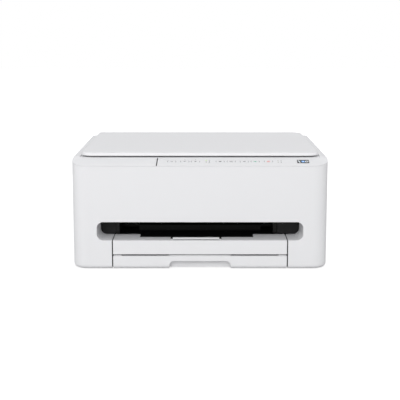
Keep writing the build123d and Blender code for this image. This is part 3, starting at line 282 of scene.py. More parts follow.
def board_shader(name, color):
    """Lacquered circuit board with copper tracks under the lacquer and solder dots."""
    material = shader(name, color, 0.3, grain=900.0, bump=0.04, tint=0.1, edge=0.1)
    tree = material.node_tree
    node = tree.nodes["Principled BSDF"]
    place = tree.nodes["Texture Coordinate"]
    cells = tree.nodes.new("ShaderNodeTexVoronoi")
    cells.distance = "MANHATTAN"
    cells.feature = "DISTANCE_TO_EDGE"
    cells.inputs["Scale"].default_value = 130.0
    cells.inputs["Randomness"].default_value = 0.55
    tree.links.new(place.outputs["Object"], cells.inputs["Vector"])
    tracks = math_node(tree, "LESS_THAN", cells.outputs["Distance"], 0.05)
    pads = tree.nodes.new("ShaderNodeTexVoronoi")
    pads.inputs["Scale"].default_value = 210.0
    tree.links.new(place.outputs["Object"], pads.inputs["Vector"])
    solder = math_node(tree, "LESS_THAN", pads.outputs["Distance"], 0.16)
    lacquer = tree.nodes["Mix"].outputs["Result"]
    lacquer = laid_over(tree, lacquer, tracks, [c * 2.1 for c in color])
    lacquer = laid_over(tree, lacquer, solder, (0.55, 0.56, 0.55))
    tree.links.new(lacquer, node.inputs["Base Color"])
    return material


def foam_shader(name):
    """White sheet on foam, with a fine dimpled skin."""
    material = shader(name, (0.83, 0.83, 0.84), 0.7, grain=1500.0, bump=0.25, tint=0.012, gloss=0.2, edge=0.5)
    material.node_tree.nodes["Principled BSDF"].inputs["Sheen Weight"].default_value = 0.15
    return material


def roller_shader(name, color, roughness, radius, gear_x):
    """Roller of one slot: steel axle inside the radius, its own colour beyond it, and a moulded gear at -X."""
    material = shader(name, color, roughness, grain=3000.0, bump=0.25, gloss=0.4, edge=0.15)
    tree = material.node_tree
    node = tree.nodes["Principled BSDF"]
    place = tree.nodes["Texture Coordinate"]
    parts = tree.nodes.new("ShaderNodeSeparateXYZ")
    tree.links.new(place.outputs["Object"], parts.inputs[0])
    centre_y, centre_z = centre_yz(name)
    dy = math_node(tree, "SUBTRACT", parts.outputs["Y"], centre_y)
    dz = math_node(tree, "SUBTRACT", parts.outputs["Z"], centre_z)
    square = math_node(tree, "ADD", math_node(tree, "POWER", dy, 2.0), math_node(tree, "POWER", dz, 2.0))
    far = math_node(tree, "GREATER_THAN", math_node(tree, "SQRT", square), radius)
    geared = math_node(tree, "MULTIPLY", math_node(tree, "LESS_THAN", parts.outputs["X"], gear_x), far)
    steel = math_node(tree, "SUBTRACT", 1.0, far)
    tone = laid_over(tree, tree.nodes["Mix"].outputs["Result"], steel, (0.62, 0.62, 0.63))
    tone = laid_over(tree, tone, geared, (0.74, 0.73, 0.70))
    tree.links.new(tone, node.inputs["Base Color"])
    tree.links.new(steel, node.inputs["Metallic"])
    smoother = math_node(tree, "MULTIPLY", steel, roughness - axle_roughness)
    tree.links.new(math_node(tree, "SUBTRACT", roughness, smoother), node.inputs["Roughness"])
    return material


def centre_yz(node):
    """Middle of a round node as seen along X."""
    low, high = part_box(node)
    return ((low.y + high.y) / 2, (low.z + high.z) / 2)


# Finishes, under the names of the record's slots, of single nodes and of the scene's own pieces
palette = {
    "white_plastic": partial(shader, color=(0.800, 0.799, 0.812), roughness=0.55, tint=0.006, gloss=0.05),
    "inner_white": partial(shader, color=(0.76, 0.765, 0.78), roughness=0.5, tint=0.01),
    "black_plastic": partial(shader, color=(0.0045, 0.0045, 0.005), roughness=0.5, bump=0.06, gloss=0.1),
    "dark_plastic": partial(shader, color=(0.012, 0.012, 0.013), roughness=0.55, bump=0.05, gloss=0.22),
    "grey_plastic": partial(shader, color=(0.30, 0.31, 0.32), roughness=0.45, bump=0.06),
    "sheet_steel": partial(brushed, color=(0.60, 0.61, 0.62), roughness=0.36, stretch=(1.0, 22.0, 22.0)),
    "shaft_steel": partial(brushed, color=(0.70, 0.70, 0.71), roughness=0.18, stretch=(60.0, 2.0, 2.0)),
    "rubber": partial(shader, color=(0.022, 0.022, 0.022), roughness=0.75, grain=1600.0, bump=0.15),
    "grey_rubber": partial(shader, color=(0.16, 0.16, 0.165), roughness=0.7, grain=1600.0, bump=0.15),
    "clear_glass": glass_shader,
    "foam": foam_shader,
    "circuit_board": partial(board_shader, color=(0.016, 0.095, 0.045)),
    "button_plastic": partial(shader, color=(0.792, 0.791, 0.803), roughness=0.4, bump=0.03, tint=0.006,
                              gloss=0.3),
    "window_plastic": partial(shader, color=(0.012, 0.014, 0.02), roughness=0.08, bump=0.005, edge=0.2),
    "ink_black": partial(shader, color=(0.018, 0.018, 0.018), roughness=0.35),
    "ink_colour": partial(shader, color=(0.09, 0.095, 0.105), roughness=0.35),
    "mark_grey": partial(shader, color=(0.16, 0.165, 0.17), roughness=0.5, bump=0.01, tint=0.05, edge=0),
    "mark_green": partial(shader, color=(0.05, 0.42, 0.26), roughness=0.5, bump=0.01, tint=0.05, edge=0),
    "mark_red": partial(shader, color=(0.72, 0.10, 0.06), roughness=0.5, bump=0.01, tint=0.05, edge=0),
    "mark_cyan": partial(shader, color=(0.02, 0.36, 0.62), roughness=0.4, bump=0.01, tint=0.05, edge=0),
    "mark_magenta": partial(shader, color=(0.62, 0.03, 0.28), roughness=0.4, bump=0.01, tint=0.05, edge=0),
    "mark_yellow": partial(shader, color=(0.80, 0.62, 0.03), roughness=0.4, bump=0.01, tint=0.05, edge=0),
    "lamp_green": partial(glowing, color=(0.55, 0.78, 0.25), strength=0.25),
    "lamp_off": partial(glowing, color=(0.50, 0.50, 0.46), strength=0.0),
    "screen_blue": partial(glowing, color=(0.10, 0.36, 0.86), strength=0.35),
    "screen_pale": partial(glowing, color=(0.75, 0.80, 0.84), strength=0.4),
    "feed_roller": partial(roller_shader, color=(0.36, 0.36, 0.37), roughness=0.55, radius=axle_radius,
                           gear_x=gear_edge),
    "eject_roller": partial(roller_shader, color=(0.05, 0.05, 0.05), roughness=0.75, radius=axle_radius,
                            gear_x=gear_edge),
    "pinch_rollers": partial(roller_shader, color=(0.14, 0.14, 0.145), roughness=0.7, radius=pin_radius,
                             gear_x=no_gear),
    "spur_wheels": partial(roller_shader, color=(0.55, 0.55, 0.56), roughness=0.3, radius=pin_radius,
                           gear_x=no_gear),
    "gold": partial(brushed, color=(0.83, 0.64, 0.28), roughness=0.3, stretch=(20.0, 1.0, 1.0)),
    "light_guide": partial(glowing, color=(0.82, 0.88, 0.90), strength=0.12, roughness=0.15),
    "film": partial(shader, color=(0.30, 0.31, 0.33), roughness=0.2, bump=0.0, edge=0),
    # output_liner: black plastic given a lighter tone than black_plastic, as painted light for the light that
    # reaches the exit pocket.
    "output_liner": partial(shader, color=(0.0105, 0.0105, 0.011), roughness=0.5, bump=0.06, gloss=0.13),
    "apron": partial(shader, color=(0.0025, 0.0025, 0.0025), roughness=0.5, bump=0.05, gloss=0.06),
    "cheek": partial(shader, color=(0.006, 0.006, 0.006), roughness=0.6, bump=0.05, gloss=0.2),
    "cork": partial(shader, color=(0.36, 0.25, 0.15), roughness=0.85, grain=1100.0, bump=0.5, tint=0.25,
                    edge=0),
    "chip": partial(shader, color=(0.02, 0.02, 0.021), roughness=0.4, bump=0.1, edge=0.15),
    "socket_white": partial(shader, color=(0.66, 0.65, 0.60), roughness=0.5, bump=0.04),
}
made = {}


def finish_named(slot):
    """Material of a record slot or of one of the scene's own finishes, made once."""
    if slot not in made:
        made[slot] = palette[slot](slot)
    return made[slot]


def dress_nodes():
    """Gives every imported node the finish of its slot, or its own where one is named."""
    for entry in frame["record"]["subparts"]:
        piece = nodes[entry["node"]]
        own = entry["node"] if entry["node"] in palette else entry["material_slot"]
        piece.data.materials.clear()
        piece.data.materials.append(finish_named(own))


def box_mm(node):
    """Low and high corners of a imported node, each as x, y and z in millimetres."""
    low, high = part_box(node)
    return [value / mm for value in low], [value / mm for value in high]


def middle_mm(node):
    """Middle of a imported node, as x, y and z in millimetres."""
    low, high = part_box(node)
    return [(a + b) / 2 / mm for a, b in zip(low, high)]


def add_box(bm, low, high, bevel=0.2):
    """Box between two corners in millimetres, with its edges rounded."""
    size = [max(b - a, 0.001) * mm for a, b in zip(low, high)]
    centre = Vector([(a + b) / 2 * mm for a, b in zip(low, high)])
    made_box = bmesh.ops.create_cube(bm, matrix=Matrix.Translation(centre) @ Matrix.Diagonal(size + [1.0]))
    if bevel:
        edges = {edge for vert in made_box["verts"] for edge in vert.link_edges}
        bmesh.ops.bevel(bm, geom=list(edges), offset=bevel * mm, segments=2, profile=0.6, affect="EDGES",
                        clamp_overlap=True)


def add_turned(bm, place, profile, segments=32):
    """Turned form about a local Z axis: the profile is a list of (radius, height) in millimetres."""
    rings = []
    for radius, height in profile:
        if radius < 0.001:
            rings.append([bm.verts.new(place @ Vector((0, 0, height * mm)))])
            continue
        ring = []
        for index in range(segments):
            turn = 2 * math.pi * index / segments
            point = Vector((math.cos(turn) * radius * mm, math.sin(turn) * radius * mm, height * mm))
            ring.append(bm.verts.new(place @ point))
        rings.append(ring)
    for lower, upper in zip(rings, rings[1:]):
        for index in range(segments):
            after = (index + 1) % segments
            corners = [lower[index % len(lower)], lower[after % len(lower)],
                       upper[after % len(upper)], upper[index % len(upper)]]
            bm.faces.new(list(dict.fromkeys(corners)))


def add_plate(bm, place, outline, thickness):
    """Flat shape of some thickness; the outline is (x, y) points in millimetres, counter-clockwise."""
    lower = [bm.verts.new(place @ Vector((x * mm, y * mm, 0))) for x, y in outline]
    upper = [bm.verts.new(place @ Vector((x * mm, y * mm, thickness))) for x, y in outline]
    bm.faces.new(upper)
    bm.faces.new(lower[::-1])
    for index in range(len(outline)):
        after = (index + 1) % len(outline)
        bm.faces.new([lower[index], lower[after], upper[after], upper[index]])


def finish_piece(name, bm, body, finish, smooth=35):
    """Mesh object from what was built, with its finish, riding on a body."""
    bmesh.ops.recalc_face_normals(bm, faces=bm.faces)
    mesh = bpy.data.meshes.new(name)
    bm.to_mesh(mesh)
    bm.free()
    for polygon in mesh.polygons:
        polygon.use_smooth = True
    mesh.set_sharp_from_angle(angle=math.radians(smooth))
    mesh.materials.append(finish_named(finish))
    piece = bpy.data.objects.new(name, mesh)
    scene.collection.objects.link(piece)
    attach(piece, body)
    return piece


def upright(x, y, z):
    """Local frame at a point in millimetres, its axis up."""
    return Matrix.Translation((x * mm, y * mm, z * mm))


def facing(x, y, z, axis):
    """Local frame at a point in millimetres, its Z axis along the given direction."""
    turn = Vector(axis).to_track_quat("Z", "Y").to_matrix().to_4x4()
    return Matrix.Translation((x * mm, y * mm, z * mm)) @ turn


def on_strip(x, along, lift=0.0):
    """Local frame on the slanted strip, at x and a distance up its slope, in millimetres."""
    reach = along * mm
    y = front_y + reach * math.cos(strip_slope)
    z = strip_foot + reach * math.sin(strip_slope)
    turn = Matrix.Rotation(strip_slope, 4, "X")
    return Matrix.Translation((x * mm, y, z)) @ turn @ Matrix.Translation((0, 0, lift * mm))


def arc_band(radius, width, start, end, steps=14, centre=(0.0, 0.0)):
    """Outline of a curved band between two angles in degrees."""
    turns = [math.radians(start + (end - start) * index / steps) for index in range(steps + 1)]
    outer, inner = [[(centre[0] + reach * math.cos(turn), centre[1] + reach * math.sin(turn)) for turn in turns]
                    for reach in (radius + width / 2, radius - width / 2)]
    return outer + inner[::-1]


def rectangle(x0, y0, x1, y1):
    """Outline of a rectangle."""
    return [(x0, y0), (x1, y0), (x1, y1), (x0, y1)]


def disc(radius, centre=(0.0, 0.0), steps=20):
    """Outline of a disc."""
    return [(centre[0] + radius * math.cos(2 * math.pi * i / steps),
             centre[1] + radius * math.sin(2 * math.pi * i / steps)) for i in range(steps)]


def frame_lines(x0, y0, x1, y1, width):
    """Four bars round a rectangle."""
    return [rectangle(x0, y0, x1, y0 + width), rectangle(x0, y1 - width, x1, y1),
            rectangle(x0, y0 + width, x0 + width, y1 - width),
            rectangle(x1 - width, y0 + width, x1, y1 - width)]


def slanted_bar(x0, y0, x1, y1, width):
    """Straight bar between two points."""
    half = Vector((x1 - x0, y1 - y0)).normalized() * (width / 2)
    return [(x0 + half.y, y0 - half.x), (x1 + half.y, y1 - half.x),
            (x1 - half.y, y1 + half.x), (x0 - half.y, y0 + half.x)]


def rounded_rectangle(half_x, half_y, corner):
    """Outline of a rectangle about the local origin, with rounded corners."""
    outline = []
    for quarter, (side_x, side_y) in enumerate(((1, 1), (-1, 1), (-1, -1), (1, -1))):
        for step in range(4):
            turn = math.radians(quarter * 90 + step * 30)
            outline.append((side_x * (half_x - corner) + corner * math.cos(turn),
                            side_y * (half_y - corner) + corner * math.sin(turn)))
    return outline


# Signs on the buttons, from left to right, drawn about each button's middle in millimetres
icon_line = 0.34
wave_foot = (0, -1.0)
button_icons = [
    ("mark_grey", [arc_band(1.5, 0.42, 120, 420), rectangle(-0.21, 0.3, 0.21, 2.0)]),
    ("mark_grey", [arc_band(radius, 0.36, 35, 145, centre=wave_foot) for radius in (0.9, 1.8, 2.7)]
     + [disc(0.4, wave_foot)]),
    ("mark_grey", frame_lines(-1.3, -1.6, 1.3, 1.6, icon_line)
     + [rectangle(-0.7, 0.45, 0.7, 0.75), rectangle(-0.7, -0.25, 0.7, 0.05),
        rectangle(-0.7, -0.95, 0.3, -0.65)]),
    ("mark_grey", [rectangle(-2.0, 0.25, 2.0, 1.05), rectangle(-1.3, 1.05, 1.3, 1.65),
                   rectangle(-1.3, -1.6, 1.3, -0.1), rectangle(-2.0, -0.6, -1.45, 0.25),
                   rectangle(1.45, -0.6, 2.0, 0.25)]),
    ("mark_grey", frame_lines(-2.2, -1.3, 0.4, 1.5, icon_line) + frame_lines(-0.6, -1.8, 2.2, 0.9, icon_line)),
    ("mark_grey", [[(-1.9, 0.0), (0.0, -1.5), (0.0, 1.5)], rectangle(0.35, -1.3, 1.0, 1.3),
                   rectangle(1.35, -1.3, 2.0, 1.3)]),
    ("mark_green", [[(-1.6, 0.0), (0.0, -1.7), (1.6, 0.0), (0.0, 1.7)], arc_band(2.5, icon_line, -40, 40),
                    arc_band(2.5, icon_line, 140, 220)]),
    ("mark_red", [slanted_bar(-1.25, -1.25, 1.25, 1.25, 0.55), slanted_bar(-1.25, 1.25, -0.25, 0.25, 0.55),
                  slanted_bar(0.25, -0.25, 1.25, -1.25, 0.55), arc_band(2.3, 0.4, 0, 358, steps=30)]),
]

# Places on the strip: rows are distances up its slope, and a bracket is an arc of a circle inside its button
button_along = 15.5
bracket_radius = 3.7
bracket_line = 0.5
bracket_centre = 2.65
bracket_sweep = 84
lamp_columns = ((9.2, (19.7, 15.5, 11.3)), (115.5, (17.5, 12.7)))
lamp_profile = [(1.0, -0.2), (1.0, 0.12), (0.8, 0.28), (0.4, 0.36), (0, 0.38)]
lamp_to_mark = 4.6
dot_along = 21.9
dot_scale = 0.7
dotted_buttons = (2, 3)


def make_strip_marks():
    """Icons on the buttons, brackets beside them, and the small lamps with their marks."""
    brackets = bmesh.new()
    for index, (tone, shapes) in enumerate(button_icons):
        node = f"panel_button_{index + 1}"
        place = on_strip(middle_mm(node)[0], button_along)
        icon = bmesh.new()
        for outline in shapes:
            add_plate(icon, place, outline, print_thickness)
        finish_piece(f"button_icon_{index + 1}", icon, node, tone)
        for side, start in ((-1, 180 - bracket_sweep / 2), (1, -bracket_sweep / 2)):
            band = arc_band(bracket_radius, bracket_line, start, start + bracket_sweep,
                            centre=(side * bracket_centre, 0))
            add_plate(brackets, place, band, print_thickness)
    finish_piece("button_brackets", brackets, "scanner_unit", "mark_grey")
    marks = bmesh.new()
    lit = bmesh.new()
    dark = bmesh.new()
    for column, (x, rows) in enumerate(lamp_columns):
        for row, along in enumerate(rows):
            add_turned(lit if column == row == 0 else dark, on_strip(x, along), lamp_profile, 20)
            for shape in lamp_mark(row):
                add_plate(marks, on_strip(x + lamp_to_mark, along), shape, print_thickness)
    for button in dotted_buttons:
        place = on_strip(middle_mm(f"panel_button_{button}")[0], dot_along)
        add_turned(dark, place, [(radius * dot_scale, height) for radius, height in lamp_profile], 20)
    finish_piece("lamp_marks", marks, "scanner_unit", "mark_grey")
    finish_piece("lamp_lit", lit, "scanner_unit", "lamp_green")
    finish_piece("lamps_off", dark, "scanner_unit", "lamp_off")


def lamp_mark(row):
    """Small sign beside a lamp: a sheet, a drop or a warning triangle."""
    if row == 0:
        return frame_lines(-0.9, -1.1, 0.9, 1.1, 0.3)
    if row == 1:
        return [[(0, 1.4), (-0.8, -0.1), (-0.7, -0.8), (0, -1.2), (0.7, -0.8), (0.8, -0.1)]]
    return [slanted_bar(-1.2, -1.0, 0, 1.1, 0.3), slanted_bar(0, 1.1, 1.2, -1.0, 0.3),
            rectangle(-1.2, -1.1, 1.2, -0.8), rectangle(-0.15, -0.3, 0.15, 0.5)]


def make_display():
    """Lit picture in the small window: a blue field with a pale arrow, a slash and a ring."""
    x = middle_mm("display_window")[0]
    field = bmesh.new()
    add_plate(field, on_strip(x, button_along), rounded_rectangle(2.2, 2.3, 0.8), print_thickness)
    finish_piece("display_field", field, "scanner_unit", "screen_blue")
    slash = [(-7.8, 3.4), (-5.2, -3.4), (-3.8, -3.4), (-6.4, 3.4)]
    ring = [arc_band(1.9, 0.9, start, start + 180, centre=(5.4, 0)) for start in (0, 180)]
    arrow = [rectangle(-1.3, -0.35, 0.3, 0.35), [(0.3, -1.1), (1.6, 0.0), (0.3, 1.1)]]
    signs = bmesh.new()
    for outline in (slash, *ring):
        add_plate(signs, on_strip(x, button_along), outline, print_thickness)
    for outline in arrow:
        add_plate(signs, on_strip(x, button_along, print_thickness / mm), outline, print_thickness)
    finish_piece("display_signs", signs, "scanner_unit", "screen_pale")


def make_panel_seam_shade():
    """Thin dark line of painted shade over the leaning joint between the scanner's frame and the operation
    panel.
    """
    # The black plate is painted shade: the gap is dark only because little light gets into it.
    seam_shade_plate = bmesh.new()
    outline = [(-64.2, 0.6), (-63.4, 0.6), (-62.3, 29.2), (-63.1, 29.2)]
    add_plate(seam_shade_plate, on_strip(0, 0), outline, print_thickness)
    finish_piece("panel_seam", seam_shade_plate, "scanner_unit", "black_plastic")


def make_feet():
    """Turned rubber feet with a groove, in place of the plain pads."""
    low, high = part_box("rubber_feet")
    radius = 7.0
    profile = [(0, 0.0), (2.6, 0.0), (2.8, 0.3), (3.6, 0.3), (3.8, 0.0), (6.2, 0.0), (6.8, 0.25), (radius, 0.8),
               (0, 0.8)]
    feet = bmesh.new()
    for x in (low.x + radius * mm, high.x - radius * mm):
        for y in (low.y + radius * mm, high.y - radius * mm):
            add_turned(feet, Matrix.Translation((x, y, 0)), profile, 40)
    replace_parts(finish_piece("turned_feet", feet, "root", "rubber"), "rubber_feet")


def make_pad():
    """Soft white mat under the cover, a little rounded at its edges."""
    (x0, y0, z0), (x1, y1, z1) = box_mm("document_pad")
    columns, rows = 60, 44
    edge_rise, edge_width = 1.1, 3.0
    quilt_height, skin_rise = 0.05, 0.06
    pad = bmesh.new()
    grid = {}
    for i in range(columns + 1):
        for j in range(rows + 1):
            x = x0 + (x1 - x0) * i / columns
            y = y0 + (y1 - y0) * j / rows
            edge = min(x - x0, x1 - x, y - y0, y1 - y)
            round_off = edge_rise * max(0.0, 1.0 - edge / edge_width) ** 2
            quilt = quilt_height * math.sin(x * 0.21) * math.sin(y * 0.23)
            grid[0, i, j] = pad.verts.new((x * mm, y * mm, (z0 + round_off + skin_rise + quilt) * mm))
            grid[1, i, j] = pad.verts.new((x * mm, y * mm, z1 * mm))
    for i in range(columns):
        for j in range(rows):
            pad.faces.new([grid[0, i, j], grid[0, i, j + 1], grid[0, i + 1, j + 1], grid[0, i + 1, j]])
            pad.faces.new([grid[1, i, j], grid[1, i + 1, j], grid[1, i + 1, j + 1], grid[1, i, j + 1]])
    rim = [(i, 0) for i in range(columns)] + [(columns, j) for j in range(rows)]
    rim += [(i, rows) for i in range(columns, 0, -1)] + [(0, j) for j in range(rows, 0, -1)]
    for here, after in zip(rim, rim[1:] + rim[:1]):
        pad.faces.new([grid[(0, *here)], grid[(0, *after)], grid[(1, *after)], grid[(1, *here)]])
    piece = finish_piece("cover_mat", pad, "document_cover", "foam", smooth=60)
    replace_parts(piece, "document_pad")


def make_rear_details():
    """Metal shell, tongue and contacts of the data socket, and the pins of the inlet."""
    rear = case_high.y / mm
    x, z = 96.0, 103.1
    half, rise, depth = 6.0, 5.5, 9.0
    wall, skin, set_back = 1.1, 0.12, 0.45
    walls = ((x - half, z - rise, x + half, z - rise + wall),
             (x - half, z + rise - wall, x + half, z + rise),
             (x - half, z - rise + 1.0, x - half + wall, z + rise - 1.0),
             (x + half - wall, z - rise + 1.0, x + half, z + rise - 1.0))
    shell = bmesh.new()
    for x0, z0, x1, z1 in walls:
        add_box(shell, (x0 - skin, rear - depth, z0 - skin), (x1 + skin, rear - set_back, z1 + skin), 0.15)
    finish_piece("socket_shell", shell, "root", "sheet_steel")
    tongue = bmesh.new()
    add_box(tongue, (x - half / 2 - skin, rear - depth, z - rise / 3 - skin),
            (x + half / 2 + skin, rear - 1.8, z + rise / 3 + skin), 0.3)
    finish_piece("socket_tongue", tongue, "root", "socket_white")
    contacts = bmesh.new()
    for contact_x in (x - 1.6, x + 1.6):
        for contact_z in (z - 1.95, z + 1.95):
            add_box(contacts, (contact_x - 0.6, rear - depth, contact_z - 0.08),
                    (contact_x + 0.6, rear - 2.4, contact_z + 0.14), 0.05)
    finish_piece("socket_contacts", contacts, "root", "gold")
    inlet_x, inlet_z, pin_spacing, pin_depth = -144.0, 40.0, 8.6, 14.0
    pins = bmesh.new()
    for side in (-0.5, 0.5):
        place = facing(inlet_x + side * pin_spacing, rear - pin_depth, inlet_z, (0, 1, 0))
        add_turned(pins, place, [(0, 0), (1.32, 0), (1.32, 9.2), (1.1, 9.9), (0.6, 10.35), (0, 10.45)], 24)
    finish_piece("inlet_pins", pins, "root", "shaft_steel")


def make_underside():
    """Moulded ribs, screws and a blank plate under the floor."""
    z = box_mm("bottom_case")[0][2]
    rib_half, rib_drop, sunk = 0.8, 0.4, 0.2
    plate = bmesh.new()
    add_box(plate, (40, 30, z - 0.12), (110, 75, z + sunk), 0.1)
    finish_piece("blank_plate", plate, "root", "film")
    ribs = bmesh.new()
    for x in (-140, -100, -60, -20, 20, 140):
        add_box(ribs, (x - rib_half, -60, z - rib_drop), (x + rib_half, 120, z + sunk), 0.2)
    for y, x1 in ((-75, 150), (0, 30), (132, 150)):
        add_box(ribs, (-150, y - rib_half, z - rib_drop), (x1, y + rib_half, z + sunk), 0.2)
    finish_piece("floor_ribs", ribs, "root", "dark_plastic")
    screws = bmesh.new()
    for x in (-146, 146):
        for y in (-95, 60):
            add_turned(screws, facing(x, y, z + 0.15, (0, 0, -1)), screw_head(2.9), 24)
    finish_piece("floor_screws", screws, "root", "sheet_steel")


def screw_head(radius):
    """Profile of a low round screw head with a hollow in its middle."""
    shares = ((1.0, 0.0), (0.94, 0.3), (0.7, 0.55), (0.42, 0.62), (0.34, 0.3), (0, 0.25))
    return [(radius * share, height) for share, height in shares]


def make_mechanism():
    """Teeth of the carriage's belt, and the marked film behind the carriage with its clips."""
    (x0, y0, z0), (x1, y1, z1) = box_mm("carriage_belt")
    middle = (z0 + z1) / 2
    pulley_radius, belt_inner = 9.0, 6.05
    tooth_pitch, tooth_length, tooth_depth, tooth_inset = 2.0, 1.0, 0.7, 0.2
    teeth = bmesh.new()
    x = x0 + pulley_radius
    while x < x1 - pulley_radius:
        for root, tip in ((-belt_inner, -belt_inner + tooth_depth), (belt_inner, belt_inner - tooth_depth)):
            add_box(teeth, (x, y0 + tooth_inset, middle + min(root, tip)),
                    (x + tooth_length, y1 - tooth_inset, middle + max(root, tip)), 0)
        x += tooth_pitch
    finish_piece("belt_teeth", teeth, "root", "grey_rubber")
    film_half, film_y0, film_y1, film_z0, film_z1 = 163.6, 30.9, 31.05, 113.4, 119.4
    film = bmesh.new()
    add_box(film, (-film_half, film_y0, film_z0), (film_half, film_y1, film_z1), 0)
    finish_piece("encoder_film", film, "root", "film")
    dash_pitch, dash_width, dash_skin, dashes_a_side = 1.25, 0.55, 0.06, 130
    dashes = bmesh.new()
    for index in range(-dashes_a_side, dashes_a_side + 1):
        x = index * dash_pitch
        add_box(dashes, (x, film_y0 - dash_skin, film_z0 + 1),
                (x + dash_width, film_y1 + dash_skin, film_z1 - 1), 0)
    finish_piece("encoder_dashes", dashes, "root", "chip")
    clip_end, clip_width = 163.7, 1.6
    clips = bmesh.new()
    for x in (-clip_end, clip_end - clip_width):
        add_box(clips, (x, 29.6, 112.6), (x + clip_width, 32.4, 120.2), 0.3)
    finish_piece("film_clips", clips, "root", "sheet_steel")


def make_cartridge_labels():
    """Plain label, colour dots and a ribbed grip on each of the two cartridges."""
    dot_profile = [(2.4, 0), (2.4, 0.06), (2.2, 0.1), (0, 0.1)]
    dot_pitch, lid_drop = 7.0, 3.0
    for node, dots in (("black_cartridge", ("mark_grey",)),
                       ("colour_cartridge", ("mark_cyan", "mark_magenta", "mark_yellow"))):
        (x0, y0, _), (x1, _, z1) = box_mm(node)
        top = z1 - lid_drop
        label = bmesh.new()
        add_box(label, (x0 + 2, y0 + 10, top - 0.05), (x1 - 2, y0 + 34, top + 0.12), 0.05)
        finish_piece(f"{node}_label", label, "carriage", "inner_white")
        for index, tone in enumerate(dots):
            x = (x0 + x1) / 2 + (index - (len(dots) - 1) / 2) * dot_pitch
            dot = bmesh.new()
            add_turned(dot, upright(x, y0 + 15, top + 0.1), dot_profile, 24)
            finish_piece(f"{node}_dot_{index + 1}", dot, "carriage", tone)
        grip = bmesh.new()
        for step in range(5):
            z = z1 - 10.0 + step * 1.6
            add_box(grip, (x0 + 3.5, y0 - 0.35, z - 1.6), (x1 - 3.5, y0 + 0.3, z - 0.9), 0.15)
        finish_piece(f"{node}_grip", grip, "carriage", "ink_black")


# Blocks of the logic board: place across and along it as shares of the room left, then width, depth and height
board_x, board_y, board_top = (-40.0, 120.0), (64.0, 148.0), 97.6
board_chips = ((0.37, 0.38, 26, 26, 2.0), (0.62, 0.28, 16, 12, 1.6), (0.62, 0.72, 14, 20, 1.6))
board_sockets = ((0.84, 0.42, 12, 12, 8.0), (1.0, 0.93, 10, 30, 6.0), (0.1, 0.93, 8, 30, 5.0))
block_skin = 0.15
leg_pitch, leg_reach, leg_half, leg_height = 1.6, 1.5, 0.3, 0.5


def add_block(bm, x_share, y_share, width, depth, height, bevel):
    """Cover over one block of the logic board; gives the block's low corner."""
    x = board_x[0] + x_share * (board_x[1] - board_x[0] - width)
    y = board_y[0] + y_share * (board_y[1] - board_y[0] - depth)
    add_box(bm, (x - block_skin, y - block_skin, board_top),
            (x + width + block_skin, y + depth + block_skin, board_top + height + block_skin), bevel)
    return x, y


def make_chips():
    """Black chips with tinned legs, and white connectors, over the blocks of the logic board."""
    chips = bmesh.new()
    legs = bmesh.new()
    for chip in board_chips:
        x, y = add_block(chips, *chip, bevel=0.2)
        width, depth = chip[2:4]
        count = int(depth / leg_pitch)
        for index in range(count):
            middle = y + (index + 0.5) * depth / count
            for x0 in (x - leg_reach, x + width):
                add_box(legs, (x0, middle - leg_half, board_top),
                        (x0 + leg_reach, middle + leg_half, board_top + leg_height), 0)
    sockets = bmesh.new()
    for socket in board_sockets:
        add_block(sockets, *socket, bevel=0.3)
    finish_piece("board_chips", chips, "root", "chip")
    finish_piece("chip_legs", legs, "root", "shaft_steel")
    finish_piece("board_sockets", sockets, "root", "socket_white")


def make_motor_details():
    """Moulded end caps on the two motors, and terminals on the carriage's one."""
    shaft_reach, sunk = 3.0, 0.05
    tag_spread, tag_half, tag_reach, tag_thick = 11.2, 1.2, 4.2, 0.3
    x, _, z = middle_mm("carriage_motor")
    end = box_mm("carriage_motor")[1][1] - shaft_reach
    caps = bmesh.new()
    add_turned(caps, facing(x, end - sunk, z, (0, 1, 0)),
               [(13.0, 0), (13.0, 0.9), (12.4, 1.3), (9.6, 1.3), (9.6, 0.6), (9.1, 0.6), (9.1, 0.0)], 40)
    tags = bmesh.new()
    for tag_x in (x - tag_spread, x + tag_spread):
        add_box(tags, (tag_x - tag_half, end, z - tag_thick),
                (tag_x + tag_half, end + tag_reach, z + tag_thick), 0.1)
    _, y, z = middle_mm("feed_motor")
    end = box_mm("feed_motor")[1][0] - shaft_reach
    add_turned(caps, facing(end - sunk, y, z, (1, 0, 0)),
               [(14.6, 0), (14.6, 0.9), (14.0, 1.3), (4.0, 1.3), (3.4, 0.9), (3.4, 0)], 40)
    finish_piece("motor_caps", caps, "root", "chip")
    finish_piece("motor_tags", tags, "root", "gold")


def make_wheel_guides():
    """Small guides between the spur wheels, on the bar above them."""
    middle = middle_mm("spur_wheels")[2]
    left, right, count = -109.0, 104.5, 8
    guides = bmesh.new()
    for index in range(count):
        x = left + (index + 0.5) * (right - left) / count
        add_box(guides, (x - 5, -62.9, middle - 3.4), (x + 5, -61.4, middle + 0.3), 0.4)
        add_box(guides, (x - 4, -61.5, middle - 3.4), (x + 4, -59.6, middle - 2.2), 0.4)
    finish_piece("wheel_guides", guides, "root", "dark_plastic")


